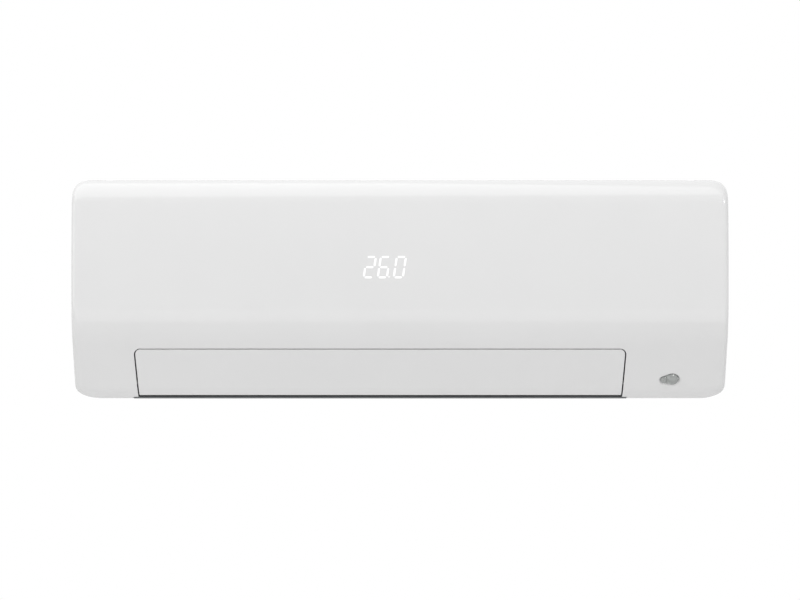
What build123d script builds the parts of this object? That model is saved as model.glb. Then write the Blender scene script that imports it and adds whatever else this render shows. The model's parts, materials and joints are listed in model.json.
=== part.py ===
from build123d import *
import math
import os

# Indoor unit of a wall-hung split air conditioner, in millimetres.
# Origin: centre of the wall-screw rectangle, on the wall. +X is right as seen from the room,
# -Y points into the room, +Z is up. Side sections are written as (depth from the wall, height).

# ------------------------------------------------------------------ driving dimensions
# Overall case
case_width = 865.0
case_height = 290.0
case_depth = 210.0
case_wall = 2.5
case_back = 2.0
belly_crown = 1.65
seat_gap = 0.3
top_front_radius = 38.0
belly_radius = 500.0
chin_radius = 90.0
toe_radius = 45.0
front_lean = 14.0
belly_drop = 97.0
chin_drop = 195.0
chin_lean = 3.0
toe_depth = 127.0
corner_top = 19.0
corner_bottom_run = 34.0
corner_bottom_rise = 16.0
side_edge = 6.0
left_room = 80.0
right_room = 133.0

# Front panel
panel_band = 26.0
panel_seam = 1.6
panel_gap = 1.2
frame_wall = 2.2
panel_hinge_depth = 150.0
panel_hinge_height = 136.0
panel_pin_radius = 2.5
panel_arm_width = 7.0
panel_arm_inset = 47.5
panel_arm_half = 4.5
panel_arm_root = 16.0
panel_pin_length = 6.0
panel_ear_gap = 9.0
panel_notch_clearance = 1.2

# Louvre and air outlet
duct_side_wall = 2.5
louvre_top = -79.5
louvre_bottom = -140.6
louvre_gap_left = 2.0
louvre_gap_right = 1.5
louvre_slant = 3.2
louvre_corner = 6.6
louvre_seam = 1.7
louvre_pivot_depth = 131.0
louvre_pivot_height = -123.0
louvre_pin_radius = 2.6
louvre_hub_radius = 5.2
louvre_tab = 4.0
louvre_tab_inset = 4.5
louvre_tab_gap = 0.4
louvre_rib_heights = [-98.0, -118.0]
louvre_rib_half = 0.9
louvre_rib_rise = 3.0
louvre_motor_radius = 13.0
louvre_motor_length = 20.0
louvre_motor_offset = (-9.2, 7.8)
louvre_motor_ear = 2.2
louvre_nose_radius = 4.6
louvre_nose_bore = 1.8
support_width = 5.4
lip_depth = 117.0
lip_height = -143.9

# Cross-flow fan and its scroll
fan_depth = 92.0
fan_height = -30.0
fan_radius = 47.0
fan_segments = 3
fan_blades = 26
fan_disc = 2.0
fan_end_gap = 6.5
fan_hub_radius = 11.0
fan_hub_length = 20.0
blade_ring = 13.0
blade_wall = 1.6
blade_sweep = 13.0
blade_camber = 1.8
shaft_radius = 4.0
shaft_clearance = 0.06
hub_clearance = 1.5
shaft_end_gap = 0.4
motor_rib = 3.0
motor_rib_start = 16.0
motor_rib_end = 10.0
motor_band_start = 21.0
motor_band_width = 22.0
motor_band_wall = 3.5
motor_foot = 36.0
bearing_wall = 5.0
bearing_flange = 11.0
bearing_flange_wall = 3.0
bush_clearance = 0.15
bearing_length = 12.0
bush_radius = 9.0
scroll_gap_back = 6.5
scroll_room = 19.0
scroll_upper_room = 7.0
scroll_drop = 4.0
scroll_end_angle = 140.0
moulding_wall = 2.2
duct_side_inset = 8.0
duct_side_top = 24.0
tray_gap = 4.0

# Chassis and screws
back_wall_depth = 4.2
back_wall = 2.2
channel_depth = 45.1
channel_height = -70.9
screw_depth = 52.0
screw_radius = 1.9
screw_head_radius = 3.6
screw_inset = 40.5
screw_length = 12.0
screw_head_height = 2.0
screw_sink = 0.2
screw_clearance = 0.1
screw_lug = 9.0

# Swing vanes
vanes_per_group = 5
vane_first = 36.0
vane_end_room = 42.0
vane_fan_gap = 5.0
vane_wall = 1.6
vane_pivot_reach = 46.0
vane_link_reach = 28.0
vane_pin_radius = 1.3
vane_pin_clearance = 0.3
vane_front_lap = 0.5
vane_height = 58.0
vane_floor_gap = 0.5
vane_back_reach = 10.0
vane_back_height = 22.0
link_height = 10.0
link_end = 5.0
link_side_gap = 2.0
link_width = 6.0
link_thickness = 4.0

# Heat exchanger
coil_thickness = 26.0
coil_gap_left = 6.5
coil_gap_right = 9.5
end_plate_wall = 1.2
tube_radius = 3.6
bend_pitch = 21.0
bend_start = 2.0
coil_base = -46.0
coil_front_top = 46.0
coil_front_high = (119.0, 110.0)
coil_rear_low = (50.0, 44.0)
coil_rear_high = (96.0, 111.0)

# Drain pan
pan_fan_gap = 10.5
pan_seat = 2.5
pan_lip = 4.0
pan_ledge = -58.0
tongue_gap = 5.12
tongue_angle = -28.04
pan_box_left = 33.5
pan_box_right = 14.5
pan_notch_gap = 3.5
pan_plug_place = 15.5
pan_plug_height = -47.0
pan_wall = 2.0
pan_floor = 2.8
pan_rim = 8.0
plug_radius = 4.9
plug_clearance = 0.1
plug_head_radius = 7.5
plug_head = 3.2
spout_inset = 14.0
spout_place = 6.5
spout_height = -95.0

# Filters and intake grille
filter_wall = 1.6
filter_room = 22.0
filter_top = 131.0
filter_bridge = 96.0
filter_shoulder = 55.0
filter_lean = 2.0
filter_crest = 140.0
filter_back = 58.0
filter_bends = [45.0, 40.0]
filter_base = -48.0
filter_bars = [0.0, 34.0, 110.0]
filter_tab_reach = 7.0
filter_tab_width = 40.0
filter_edge = 6.0
filter_bar = 3.0
filter_bays = 3
filter_mesh = 0.7
filter_side_gap = 0.4
filter_guide_wall = 2.0
grille_rows = 9
grille_front = 156.0
grille_back = 22.0
grille_columns = 4
grille_bar = 4.0
grille_rib = 7.0

# Wall plate
plate_width = 560.0
plate_height = 180.0
plate_wall = 1.2
screw_spacing_x = 450.0
screw_spacing_z = 130.0
screw_hole_radius = 2.75
hook_width = 30.0
hook_height = 96.0
hook_offset = 180.0
hook_reach = 9.0
plate_corner = 12.0
plate_ribs = [-38.0, 0.0, 38.0]
plate_rib_rise = 1.5
plate_rib_half = 5.0
plate_rib_inset = 40.0

# Electrics and pipes
service_gap = 8.5
box_inset = 12.5
box_back = 134.0
box_room = 24.0
box_wall = 2.0
board_post_radius = 3.0
board_post_inset = 10.0
board_edge = 4.0
board_lift = 14.5
terminal_shelf = 34.0
terminal_shelf_wall = 2.5
terminal_inset = 18.0
terminal_width = 64.0
terminal_height = 24.0
terminal_drop = 30.0
terminal_count = 5
terminal_wall = 1.6
terminal_base = 9.0
terminal_rise = 15.0
terminal_screw_radius = 3.0
box_base = -28.0
box_top = 96.0
button_inset = 60.5
button_height = -8.0
button_radius = 4.0
button_board_gap = 13.4
button_recess = 1.8
button_reach = 9.0
button_flange = 2.0
button_flange_wall = 1.6
button_stop_gap = 0.7
switch_height = 3.4
switch_post_radius = 2.2
switch_post_offset = 10.5
switch_board_size = (28.0, 18.0)
display_x = -20.5
display_height = 29.5
display_board_size = (70.0, 40.0)
display_module_size = (54.0, 32.0)
display_module_depth = 10.3
display_tray_depth = 14.3
display_tray_wall = 2.0
display_tray_gap = 1.0
display_gap_front = 0.4
display_swing_below = 29.0
display_swing_above = 38.0
display_gap = 1.6
sensor_room = 31.5
sensor_height = 10.0
sensor_length = 14.0
sensor_radius = 2.6
motor_radius = 38.0
motor_length = 58.0
gas_pipe_radius = 4.76
liquid_pipe_radius = 3.18
pipe_wall = 0.8
pipe_bend = 9.0
pipe_bore_depth = 25.0
pipe_end = -120.0
pipe_free = 20.0
pipe_clearance = 0.1
nut_gap = 1.0
gas_nut_flats = 22.0
liquid_nut_flats = 17.0
gas_start = (75.0, 81.0)
gas_depth = 22.0
gas_height = -92.0
drop_spacing = 10.0
liquid_start = (57.0, 54.0)
liquid_depth = 20.0
liquid_height = -118.0
clamp_x = 40.0
clamp_width = 16.0
clamp_margin = 10.0
drain_radius = 8.5
drain_wall = 1.8
drain_bend = 18.0
drain_sleeve = 18.0

# Flats that stand for a tiny, a small and a large round section
tiny_flats = 8
small_flats = 12
large_flats = 24
small_from = 4.0
large_from = 15.0
pipe_flats = 8
bend_steps = 2

# Receiver window, on the right leg of the panel
lens_inset = 74.0
lens_height = -119.4
lens_radius = 7.4
lens_side_radius = 4.6
lens_side_offset = 9.0
lens_dome = 0.34
lens_clearance = 0.2
lens_flange = 2.0
lens_flange_wall = 1.2
receiver_gap = 2.6
receiver_size = (30.0, 22.0)
board_wall = 1.6
dome_steps = [(0.0, 1.0), (0.6, 0.72), (1.0, 0.3)]

# ------------------------------------------------------------------ derived places
top = case_height / 2
bottom = -case_height / 2
half_width = case_width / 2
outlet_left = -half_width + left_room
outlet_right = half_width - right_room
outlet_middle = (outlet_left + outlet_right) / 2
louvre_left = outlet_left + louvre_gap_left
louvre_right = outlet_right - louvre_gap_right
panel_arm_offset = half_width - panel_arm_inset
screw_offset = half_width - screw_inset
bearing_left = outlet_left - duct_side_wall - bearing_length
motor_start = outlet_right + service_gap
vane_pitch = (outlet_right - outlet_middle - vane_first - vane_end_room) / (vanes_per_group - 1)
coil_left = outlet_left + coil_gap_left
coil_right = outlet_right - coil_gap_right
pan_left = outlet_left - pan_box_left
pan_right = outlet_right + pan_box_right
pan_back = fan_depth + fan_radius + pan_fan_gap
coil_front_cut = pan_back - pan_notch_gap
pan_plug_depth = pan_back + pan_plug_place
spout_depth = pan_back + spout_place
pan_front = pan_back + pan_seat + coil_thickness + pan_lip
pan_tongue = (
    fan_depth + (fan_radius + tongue_gap) * math.cos(math.radians(tongue_angle)),
    fan_height + (fan_radius + tongue_gap) * math.sin(math.radians(tongue_angle)),
)
tray_height = fan_height + fan_radius + tray_gap
scroll_radius = fan_radius + scroll_room
scroll_upper_radius = fan_radius + scroll_upper_room
spout_x = pan_left + spout_inset
filter_depth = case_depth - filter_room
filter_guide_depth = filter_depth - 3.8
box_left = outlet_right + service_gap
box_right = half_width - box_inset
box_front = case_depth - box_room
button_x = half_width - button_inset
sensor_depth = pan_back + sensor_room
gas_drop_x = outlet_right + service_gap
liquid_drop_x = gas_drop_x + drop_spacing
lens_x = half_width - lens_inset
profile = [
    (case_back, top),
    (case_depth - front_lean, top),
    (case_depth + belly_crown, top - belly_drop),
    (case_depth - chin_lean, top - chin_drop),
    (toe_depth, bottom),
    (case_back, bottom),
]
reveal = case_wall + panel_gap
button_face = (
    profile[2][0]
    + (profile[3][0] - profile[2][0]) * (profile[2][1] - button_height) / (profile[2][1] - profile[3][1])
    - reveal
)


def unit(a, b):
    """Unit vector from a to b in the side section."""
    run = b[0] - a[0]
    rise = b[1] - a[1]
    length = math.hypot(run, rise)
    return (run / length, rise / length)


scroll_centre = (fan_depth - fan_radius - scroll_gap_back + scroll_radius, fan_height - scroll_drop)
lip = (lip_depth, lip_height)


def tangent_point(point, centre, radius):
    """Where the line from point touches the back of a circle."""
    run = centre[0] - point[0]
    rise = centre[1] - point[1]
    reach = math.hypot(run, rise)
    length = math.sqrt(reach ** 2 - radius ** 2)
    angle = math.atan2(rise, run) + math.asin(radius / reach)
    return (point[0] + length * math.cos(angle), point[1] + length * math.sin(angle))


floor_start = tangent_point(lip, scroll_centre, scroll_radius)
floor_flow = unit(floor_start, lip)
floor_normal = (-floor_flow[1], floor_flow[0])


def on_floor(back, up):
    """A place in the outlet: back along the floor from its lip, and up from the floor."""
    return (
        lip[0] - back * floor_flow[0] + up * floor_normal[0],
        lip[1] - back * floor_flow[1] + up * floor_normal[1],
    )


# ------------------------------------------------------------------ section helpers
def sketch_points(points):
    """Side-section points as (local x, local y) of the YZ plane."""
    return [(-d, z) for d, z in points]


def outline(points, radii, x):
    """Closed side section with rounded corners, on the plane at x."""
    with BuildSketch(Plane.YZ.offset(x)) as sketch:
        with BuildLine():
            if any(radii):
                FilletPolyline(*sketch_points(points), radius=radii, close=True)
            else:
                Polyline(*sketch_points(points), close=True)
        make_face()
    return sketch.sketch


def prism(points, x0, x1, radii=0):
    """Side section extruded from x0 to x1."""
    corners = radii if isinstance(radii, list) else [radii] * len(points)
    return extrude(outline(points, corners, x0), x1 - x0)


def strip(points, thickness, x0, x1, radii=0):
    """A wall that follows an open path of the side section."""
    corners = radii if isinstance(radii, list) else [radii] * (len(points) - 2)
    if any(corners):
        path = FilletPolyline(*sketch_points(points), radius=corners)
    else:
        path = Polyline(*sketch_points(points))
    face = Plane.YZ.offset(x0) * trace(path, line_width=thickness)
    return extrude(face, x1 - x0)


def block(x0, x1, d0, d1, z0, z1):
    """Box between two x, two depths and two heights."""
    box = Box(x1 - x0, d1 - d0, z1 - z0)
    return Pos((x0 + x1) / 2, -(d0 + d1) / 2, (z0 + z1) / 2) * box


def round_face(radius, hole=False):
    """Round outline drawn with flats: a pin's lies inside its circle and a hole's outside it."""
    flats = tiny_flats if radius < small_from else small_flats if radius < large_from else large_flats
    return RegularPolygon(radius, flats, major_radius=not hole)


def rod(x0, x1, d, z, radius, hole=False):
    """Round bar along X, or the cutter for a round hole."""
    return extrude(Plane.YZ.offset(x0) * Pos(-d, z) * round_face(radius, hole), x1 - x0)


def peg(radius, length, hole=False):
    """Short round bar along its own Z, centred on its place."""
    return extrude(round_face(radius, hole), length / 2, both=True)


def facing():
    """Turns a peg to point into the room."""
    return Rot(90, 0, 0)


def in_flats(path):
    """Points of a path whose round bends are drawn as short straight steps."""
    points = [path @ 0]
    for edge in path.edges():
        steps = bend_steps if edge.geom_type == GeomType.CIRCLE else 1
        points += [edge @ (k / steps) for k in range(1, steps + 1)]
    return points


def tube_along(points, face):
    """Bar or tube of one flat-sided section along straight runs, mitred where they meet."""
    path = Polyline(*points)
    return sweep(Plane(origin=path @ 0, z_dir=path % 0) * face, path=path, transition=Transition.RIGHT)


def cross_plane(x, d, z):
    """Plane square to X with its origin at a place of the side section."""
    return Plane(origin=(x, -d, z), x_dir=(0, 1, 0), z_dir=(1, 0, 0))


def round_inset(run, rise, s):
    """How far a rounded corner draws in at a distance s from the end."""
    if s >= run:
        return 0.0
    return rise * (1 - math.sqrt(1 - ((run - s) / run) ** 2))


def inset_profile(insets):
    """Case profile with each side moved inwards by its own amount."""
    lines = []
    for index, start in enumerate(profile):
        end = profile[(index + 1) % len(profile)]
        run, rise = unit(start, end)
        lines.append((start[0] + rise * insets[index], start[1] - run * insets[index], run, rise))
    points = []
    for index in range(len(lines)):
        ax, az, au, av = lines[index - 1]
        bx, bz, bu, bv = lines[index]
        along = ((bx - ax) * bv - (bz - az) * bu) / (au * bv - av * bu)
        points.append((ax + au * along, az + av * along))
    return points


def case_body(inset):
    """Solid inside of the case skin at a given inset, with its rounded ends."""
    if inset == 0.0:
        stations = [0.0, side_edge / 3, side_edge, corner_top, corner_bottom_run]
    else:
        stations = [0.0, side_edge + 2.0, corner_bottom_run]
    places = [(-half_width + inset + s, s) for s in stations]
    places += [(half_width - inset - s, s) for s in reversed(stations)]
    sections = []
    for x, s in places:
        front = inset + round_inset(side_edge, side_edge, s)
        up = inset + round_inset(corner_top, corner_top, s)
        down = inset + round_inset(corner_bottom_run, corner_bottom_rise, s)
        points = inset_profile([up, front, front, front, down, 0.0])
        radii = [
            0,
            max(top_front_radius - max(front, up), 3.0),
            belly_radius - front,
            chin_radius - front,
            max(toe_radius - max(front, down), 3.0),
            0,
        ]
        sections.append(outline(points, radii, x))
    return loft(sections, ruled=True)


def behind_band(inset, clear=40.0):
    """Everything further back than a band of the front, as one prism across the unit."""
    points = inset_profile([-clear, inset, inset, inset, -clear, -clear])
    radii = [0, max(top_front_radius - inset, 8.0), belly_radius - inset, chin_radius - inset, 19.0, 0]
    return prism(points, -half_width - clear, half_width + clear, radii)


def outlet_window(grow):
    """Outlet outline in the front view, with slanted ends, as a prism along the depth."""
    low = louvre_bottom - 60.0
    drop = louvre_top - louvre_bottom
    slope = louvre_slant / drop
    fall = louvre_top + grow - low
    points = [
        (louvre_left - grow, louvre_top + grow),
        (louvre_right + grow, louvre_top + grow),
        (louvre_right + grow - slope * fall, low),
        (louvre_left - grow + slope * fall, low),
    ]
    corner = louvre_corner + grow
    with BuildSketch(Plane.XZ) as sketch:
        with BuildLine():
            FilletPolyline(*points, radius=[corner, corner, 0, 0], close=True)
        make_face()
    return extrude(sketch.sketch, case_depth + 20.0)


# ------------------------------------------------------------------ front panel group
def hinge_arm_places():
    """X of the middle of each panel hinge arm."""
    return [-panel_arm_offset, panel_arm_offset]


def front_panel(skin):
    """Glossy shell over the whole front, with the legs beside the louvre and the hinge arms."""
    panel = skin - behind_band(panel_band)
    panel -= outlet_window(louvre_seam)
    lip_room = duct_side_wall + panel_seam
    panel -= block(
        outlet_left - lip_room, outlet_right + lip_room, 0.0, lip_depth + 3.0, bottom - 1.0, bottom + 5.0
    )
    lip_end = case_depth - front_lean - panel_band
    for x in hinge_arm_places():
        left = x - panel_arm_width / 2
        right = left + panel_arm_width
        arm = prism(
            [
                (panel_hinge_depth - panel_arm_half, panel_hinge_height - panel_arm_half),
                (lip_end + panel_arm_root, panel_hinge_height - panel_arm_half),
                (lip_end + panel_arm_root + 6.0, top + 5.0),
                (lip_end + 1.5, top + 5.0),
                (lip_end - 2.0, panel_hinge_height + panel_arm_half - 1.5),
                (panel_hinge_depth - panel_arm_half, panel_hinge_height + panel_arm_half - 0.5),
            ],
            left,
            right,
        )
        panel += arm & case_slice(case_wall - 0.6, left, right)
        panel += rod(
            left - panel_pin_length,
            right + panel_pin_length,
            panel_hinge_depth,
            panel_hinge_height,
            panel_pin_radius,
        )
    panel -= lens_hole(lens_clearance)
    return panel


def lens_plane():
    """Plane on the slanted chin of the panel, at the receiver window."""
    chin = profile[3]
    run, rise = unit(chin, profile[4])
    reach = (lens_height - chin[1]) / rise
    depth = chin[0] + run * reach
    return Plane(origin=(lens_x, -depth, lens_height), x_dir=(1, 0, 0), z_dir=(0, rise, run))


def lens_outline(grow):
    """Egg outline of the receiver window: a large eye with a small one on its left."""
    large = round_face(lens_radius + grow)
    small = Pos(-lens_side_offset, -1.0) * round_face(lens_side_radius + grow)
    return make_hull(large.edges() + small.edges())


def lens_hole(grow):
    """Cutter for the window in the panel."""
    return extrude(lens_plane() * lens_outline(grow), 12.0, both=True)


def sensor_lens():
    """Clear window moulding with a flange behind the panel and two domed eyes."""
    place = lens_plane()
    body = extrude(place * lens_outline(0.0), -case_wall)
    flange = extrude(place.offset(-case_wall - lens_clearance) * lens_outline(lens_flange), -lens_flange_wall)
    neck = extrude(place.offset(-case_wall) * lens_outline(0.0), -lens_clearance)
    body = body + neck + flange
    for x, y, radius in ((0.0, 0.0, lens_radius), (-lens_side_offset, -1.0, lens_side_radius)):
        for (low, out), (high, inner) in zip(dome_steps, dome_steps[1:]):
            rise = lens_dome * radius * (high - low)
            taper = math.degrees(math.atan((out - inner) * radius / rise))
            ring = Pos(x, y, lens_dome * radius * low) * round_face(radius * out)
            body += place * extrude(ring, rise, taper=taper)
    return body


def receiver_board():
    """Small circuit board with the infrared receiver, clipped behind the window."""
    place = lens_plane().offset(-case_wall - receiver_gap)
    board = extrude(place * Rectangle(*receiver_size), -board_wall)
    sensor = extrude(place * round_face(2.5), 0.9)
    return board + sensor


def display_box(width, tall, depth0, depth1):
    """Box centred on the display, between two depths behind the panel."""
    front = case_depth - case_wall - display_gap
    left = display_x - width / 2
    low = display_height - tall / 2
    return block(left, left + width, front - depth0, front - depth1, low, low + tall)


def display_board():
    """Board with the hidden seven-segment display, on the inner face of the panel."""
    face = display_gap_front + display_module_depth
    board = display_box(*display_board_size, face + board_wall, face)
    return board + display_box(*display_module_size, face, display_gap_front)


def display_housing():
    """Shallow carrier that holds the display board against the panel."""
    width = display_board_size[0] + 2 * (display_tray_wall + display_tray_gap)
    tall = display_board_size[1] + 2 * (display_tray_wall + display_tray_gap) + 2.0
    tray = display_box(width, tall, display_tray_depth, 0.0)
    inner = 2 * display_tray_wall
    return tray - display_box(width - inner, tall - inner, display_tray_depth - display_tray_wall, -1.0)


# ------------------------------------------------------------------ casing group
def front_frame(skin):
    """White frame behind the panel: top with the intake grille, ends and the filter windows."""
    sides = skin & behind_band(panel_band + panel_seam)
    sides -= block(outlet_left - 3.0, outlet_right + 3.0, -5.0, case_depth, bottom - 5, bottom + 12.0)
    outer_face = case_body(reveal)
    inner_face = case_body(reveal + frame_wall)
    face = outer_face - inner_face
    face -= behind_band(panel_band + panel_seam + frame_wall)
    step = case_body(0.6) - inner_face
    step &= behind_band(panel_band + panel_seam)
    step -= behind_band(panel_band + panel_seam + frame_wall)
    face -= block(-half_width, half_width, 0.0, case_depth, top - 60.0, top - reveal - 20.0) & block(
        coil_left - 2.0, coil_right + 2.0, 60.0, case_depth, -60.0, top
    )
    frame = sides + step + face
    frame -= block(outlet_left - 3.0, outlet_right + 3.0, 0.0, lip_depth + 3.0, bottom - 5.0, bottom + 12.0)
    frame -= block(outlet_left, outlet_right, 60.0, case_depth + 5.0, bottom - 5.0, louvre_top + 1.0)
    for x0, x1 in filter_spans():
        low = filter_base - 4.0
        frame -= block(x0 + filter_edge, x1 - filter_edge, 150.0, case_depth + 5.0, low, top - 26.0)
    frame -= intake_slots()
    for x in hinge_arm_places():
        half = panel_arm_width / 2 + panel_notch_clearance
        floor = panel_hinge_height - 14.0
        frame -= block(x - half, x + half, panel_hinge_depth - panel_ear_gap, case_depth, floor, top + 5.0)
        for x0 in (x - half - panel_pin_length, x + half):
            x1 = x0 + panel_pin_length
            ear = block(x0, x1, panel_hinge_depth - 6.0, panel_hinge_depth + 7.0, floor + 8.0, top - 2.0)
            hole = panel_pin_radius + shaft_clearance
            frame += ear - rod(x0 - 1, x1 + 1, panel_hinge_depth, panel_hinge_height, hole, True)
    frame += filter_guides()
    frame -= display_pocket()
    recess = Rectangle(receiver_size[0] + 10.0, receiver_size[1] + 10.0)
    frame -= extrude(lens_plane().offset(-12.0) * recess, 12.0)
    for x in (-screw_offset, screw_offset):
        pocket = 2 * (screw_sink + screw_head_height + screw_clearance)
        frame -= Pos(x, -screw_depth, bottom) * peg(screw_radius + screw_clearance, screw_length, True)
        frame -= Pos(x, -screw_depth, bottom) * peg(screw_head_radius + screw_clearance, pocket, True)
    return frame + switch_posts() - button_hole()


def filter_guides():
    """Cheeks, back ledges and sills that hold the filters in the frame."""
    guides = []
    front = case_slice(reveal + 0.5, -half_width, half_width)
    for x0, x1 in filter_spans():
        reach = filter_side_gap + filter_guide_wall
        depth = filter_guide_depth
        sill = block(x0 - reach, x1 + reach, depth, case_depth, filter_base - 6.0, filter_base - seat_gap)
        guides.append(sill & front)
        for edge, out in ((x0, -1), (x1, 1)):
            cheek = sorted((edge + out * filter_side_gap, edge + out * reach))
            ledge = sorted((edge + out * reach, edge - out * 5.0))
            guides.append(block(*cheek, depth, case_depth, filter_base - 3.0, 84.0) & front)
            guides.append(block(*ledge, depth, filter_depth - 1.4, filter_base - 3.0, 60.0))
    return guides


def display_pocket():
    """Opening in the frame's centre bar for the display housing, with room to swing out."""
    half = display_board_size[0] / 2 + 5.0
    low = display_height - display_swing_below
    high = display_height + display_swing_above
    return block(display_x - half, display_x + half, 180.0, case_depth + 5.0, low, high)


def switch_posts():
    """Posts behind the frame that carry the switch board."""
    posts = []
    length = button_board_gap - frame_wall + 1.0
    for x in (button_x - switch_post_offset, button_x + switch_post_offset):
        middle = button_face - frame_wall + 1.0 - length / 2
        posts.append(Pos(x, -middle, button_height) * facing() * peg(switch_post_radius, length))
    return posts


def button_hole():
    """Hole in the frame for the manual button."""
    return Pos(button_x, -button_face, button_height) * facing() * peg(button_radius + seat_gap, 10.0, True)


def filter_spans():
    """Left and right end of each filter."""
    return [
        (coil_left + 2.0, display_x - filter_bridge / 2),
        (display_x + filter_bridge / 2, coil_right - 2.0),
    ]


def intake_slots():
    """Rows of slots through the top, between ribs that run front to back."""
    row = (grille_front - grille_back) / grille_rows
    column = (coil_right - coil_left) / grille_columns
    slots = []
    for i in range(grille_columns):
        x0 = coil_left + i * column + grille_rib / 2
        for j in range(grille_rows):
            d0 = grille_back + j * row + grille_bar / 2
            slots.append(block(x0, x0 + column - grille_rib, d0, d0 + row - grille_bar, top - 9.0, top + 4.0))
    return slots


# ------------------------------------------------------------------ rear casing group
def case_slice(inset, x0, x1):
    """Side section of the case at one inset, as a plain prism between two x."""
    points = inset_profile([inset, inset, inset, inset, inset, 0.0])
    radii = [
        0,
        top_front_radius - inset,
        belly_radius - inset,
        chin_radius - inset,
        toe_radius - inset,
        0,
    ]
    return prism(points, x0, x1, radii)


def scroll_wall(x0, x1):
    """Outlet floor and fan scroll: a straight floor, then two arcs round the fan's back."""
    back = (scroll_centre[0] - scroll_radius, scroll_centre[1])
    start_angle = math.atan2(floor_start[1] - scroll_centre[1], floor_start[0] - scroll_centre[0])
    middle_angle = (start_angle % (2 * math.pi) + math.pi) / 2
    middle = (
        scroll_centre[0] + scroll_radius * math.cos(middle_angle),
        scroll_centre[1] + scroll_radius * math.sin(middle_angle),
    )
    upper_centre = (back[0] + scroll_upper_radius, back[1])
    upper_middle = scroll_top_point((180.0 + scroll_end_angle) / 2)
    upper_end = scroll_top_point(scroll_end_angle)
    floor_points, lower_points, upper_points = (
        sketch_points(points)
        for points in ([lip, floor_start], [floor_start, middle, back], [back, upper_middle, upper_end])
    )
    path = [Line(*floor_points), ThreePointArc(*lower_points), ThreePointArc(*upper_points)]
    wall = None
    for edge in path:
        face = Plane.YZ.offset(x0) * trace(edge, line_width=moulding_wall)
        piece = extrude(face, x1 - x0)
        wall = piece if wall is None else wall + piece
    return wall


def scroll_top_point(degrees):
    """Point of the scroll's upper arc at an angle from the room side."""
    centre = (scroll_centre[0] - scroll_radius + scroll_upper_radius, scroll_centre[1])
    angle = math.radians(degrees)
    return (
        centre[0] + scroll_upper_radius * math.cos(angle),
        centre[1] + scroll_upper_radius * math.sin(angle),
    )


def duct_side(x0, x1):
    """End wall of the fan chamber and outlet."""
    wall = case_slice(duct_side_inset, x0, x1)
    wall -= block(x0 - 1, x1 + 1, 0.0, case_depth + 5, duct_side_top, top + 5)
    wall -= block(x0 - 1, x1 + 1, coil_front_cut, case_depth + 5, pan_ledge, top + 5)
    wall -= block(x0 - 1, x1 + 1, -1.0, channel_depth, bottom - 1, channel_height)
    wall -= block(x0 - 1, x1 + 1, -1.0, back_wall_depth - back_wall / 2, bottom - 1, top)
    return wall


def rear_casing():
    """Chassis: back wall, pipe channel, scroll, outlet floor, drip tray and chamber ends."""
    inner_x = half_width - case_wall - seat_gap
    back0 = back_wall_depth - back_wall / 2
    back1 = back_wall_depth + back_wall / 2
    body = block(-inner_x, inner_x, back0, back1, channel_height, top - case_wall - seat_gap)
    x0 = outlet_left - duct_side_wall
    x1 = outlet_right + duct_side_wall
    foot = bottom + case_wall + seat_gap
    body += block(x1, inner_x, back0, back1, foot, channel_height)
    body += block(-inner_x, x1, back0, channel_depth, channel_height - back_wall, channel_height)
    body += block(-inner_x, x1, channel_depth - back_wall, channel_depth, foot, channel_height)
    for x in (-screw_offset, screw_offset):
        body += block(x - screw_lug, x + screw_lug, back0, screw_depth + screw_lug, foot, foot + back_wall)
        body -= Pos(x, -screw_depth, foot) * peg(screw_radius + screw_clearance, screw_length, True)
    body &= case_body(case_wall + seat_gap)
    body += strip([(channel_depth - 1.0, lip_height), lip], moulding_wall, x0, x1)
    body += block(x0, x1, channel_depth - back_wall, channel_depth, lip_height - 1.1, foot)
    body += scroll_wall(x0, x1)
    tray_front = coil_rear_low[0] + coil_thickness / 2 + 5.0
    tray = [(back_wall_depth, tray_height + 2.0), (tray_front, tray_height), (tray_front, tray_height + 12.0)]
    body += strip(tray, moulding_wall, x0, x1, 3.0)
    scroll_top = scroll_top_point(scroll_end_angle)
    body += strip([scroll_top, (scroll_top[0], tray_height + 0.5)], moulding_wall, x0, x1)
    body += duct_side(x0, outlet_left)
    body += duct_side(outlet_right, x1)
    for x in (motor_start + motor_rib_start, motor_start + motor_length - motor_rib_end):
        rib = block(x, x + motor_rib, back1 - 0.5, fan_depth, fan_height - motor_radius - 10.0, fan_height)
        rib -= rod(x - 1, x + motor_rib + 1, fan_depth, fan_height, motor_radius + seat_gap, True)
        body += rib
    body -= rod(x0 - 1, outlet_left + 1, fan_depth, fan_height, shaft_radius + 2 * hub_clearance, True)
    body -= rod(outlet_right - 1, x1 + 1, fan_depth, fan_height, fan_hub_radius + hub_clearance, True)
    for x in (x0 - 1, outlet_right - 1):
        hole = louvre_pin_radius + shaft_clearance
        body -= rod(x, x + duct_side_wall + 2, louvre_pivot_depth, louvre_pivot_height, hole, True)
    for x in vane_places():
        body -= floor_pin(x, vane_pivot_reach, -4.0, 4.0, vane_pin_radius + shaft_clearance, True)
    half = drain_radius + 3.5
    low = spout_height - half
    body -= block(spout_x - half, spout_x + half, 30.0, channel_depth + 3, low, low + 2 * half)
    for x in hook_places():
        half = hook_width / 2 + 2.0
        slot_top = hook_height + plate_wall + seat_gap
        body -= block(x - half, x + half, 0.0, 12.0, slot_top - 15.0, slot_top)
    return body


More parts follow.
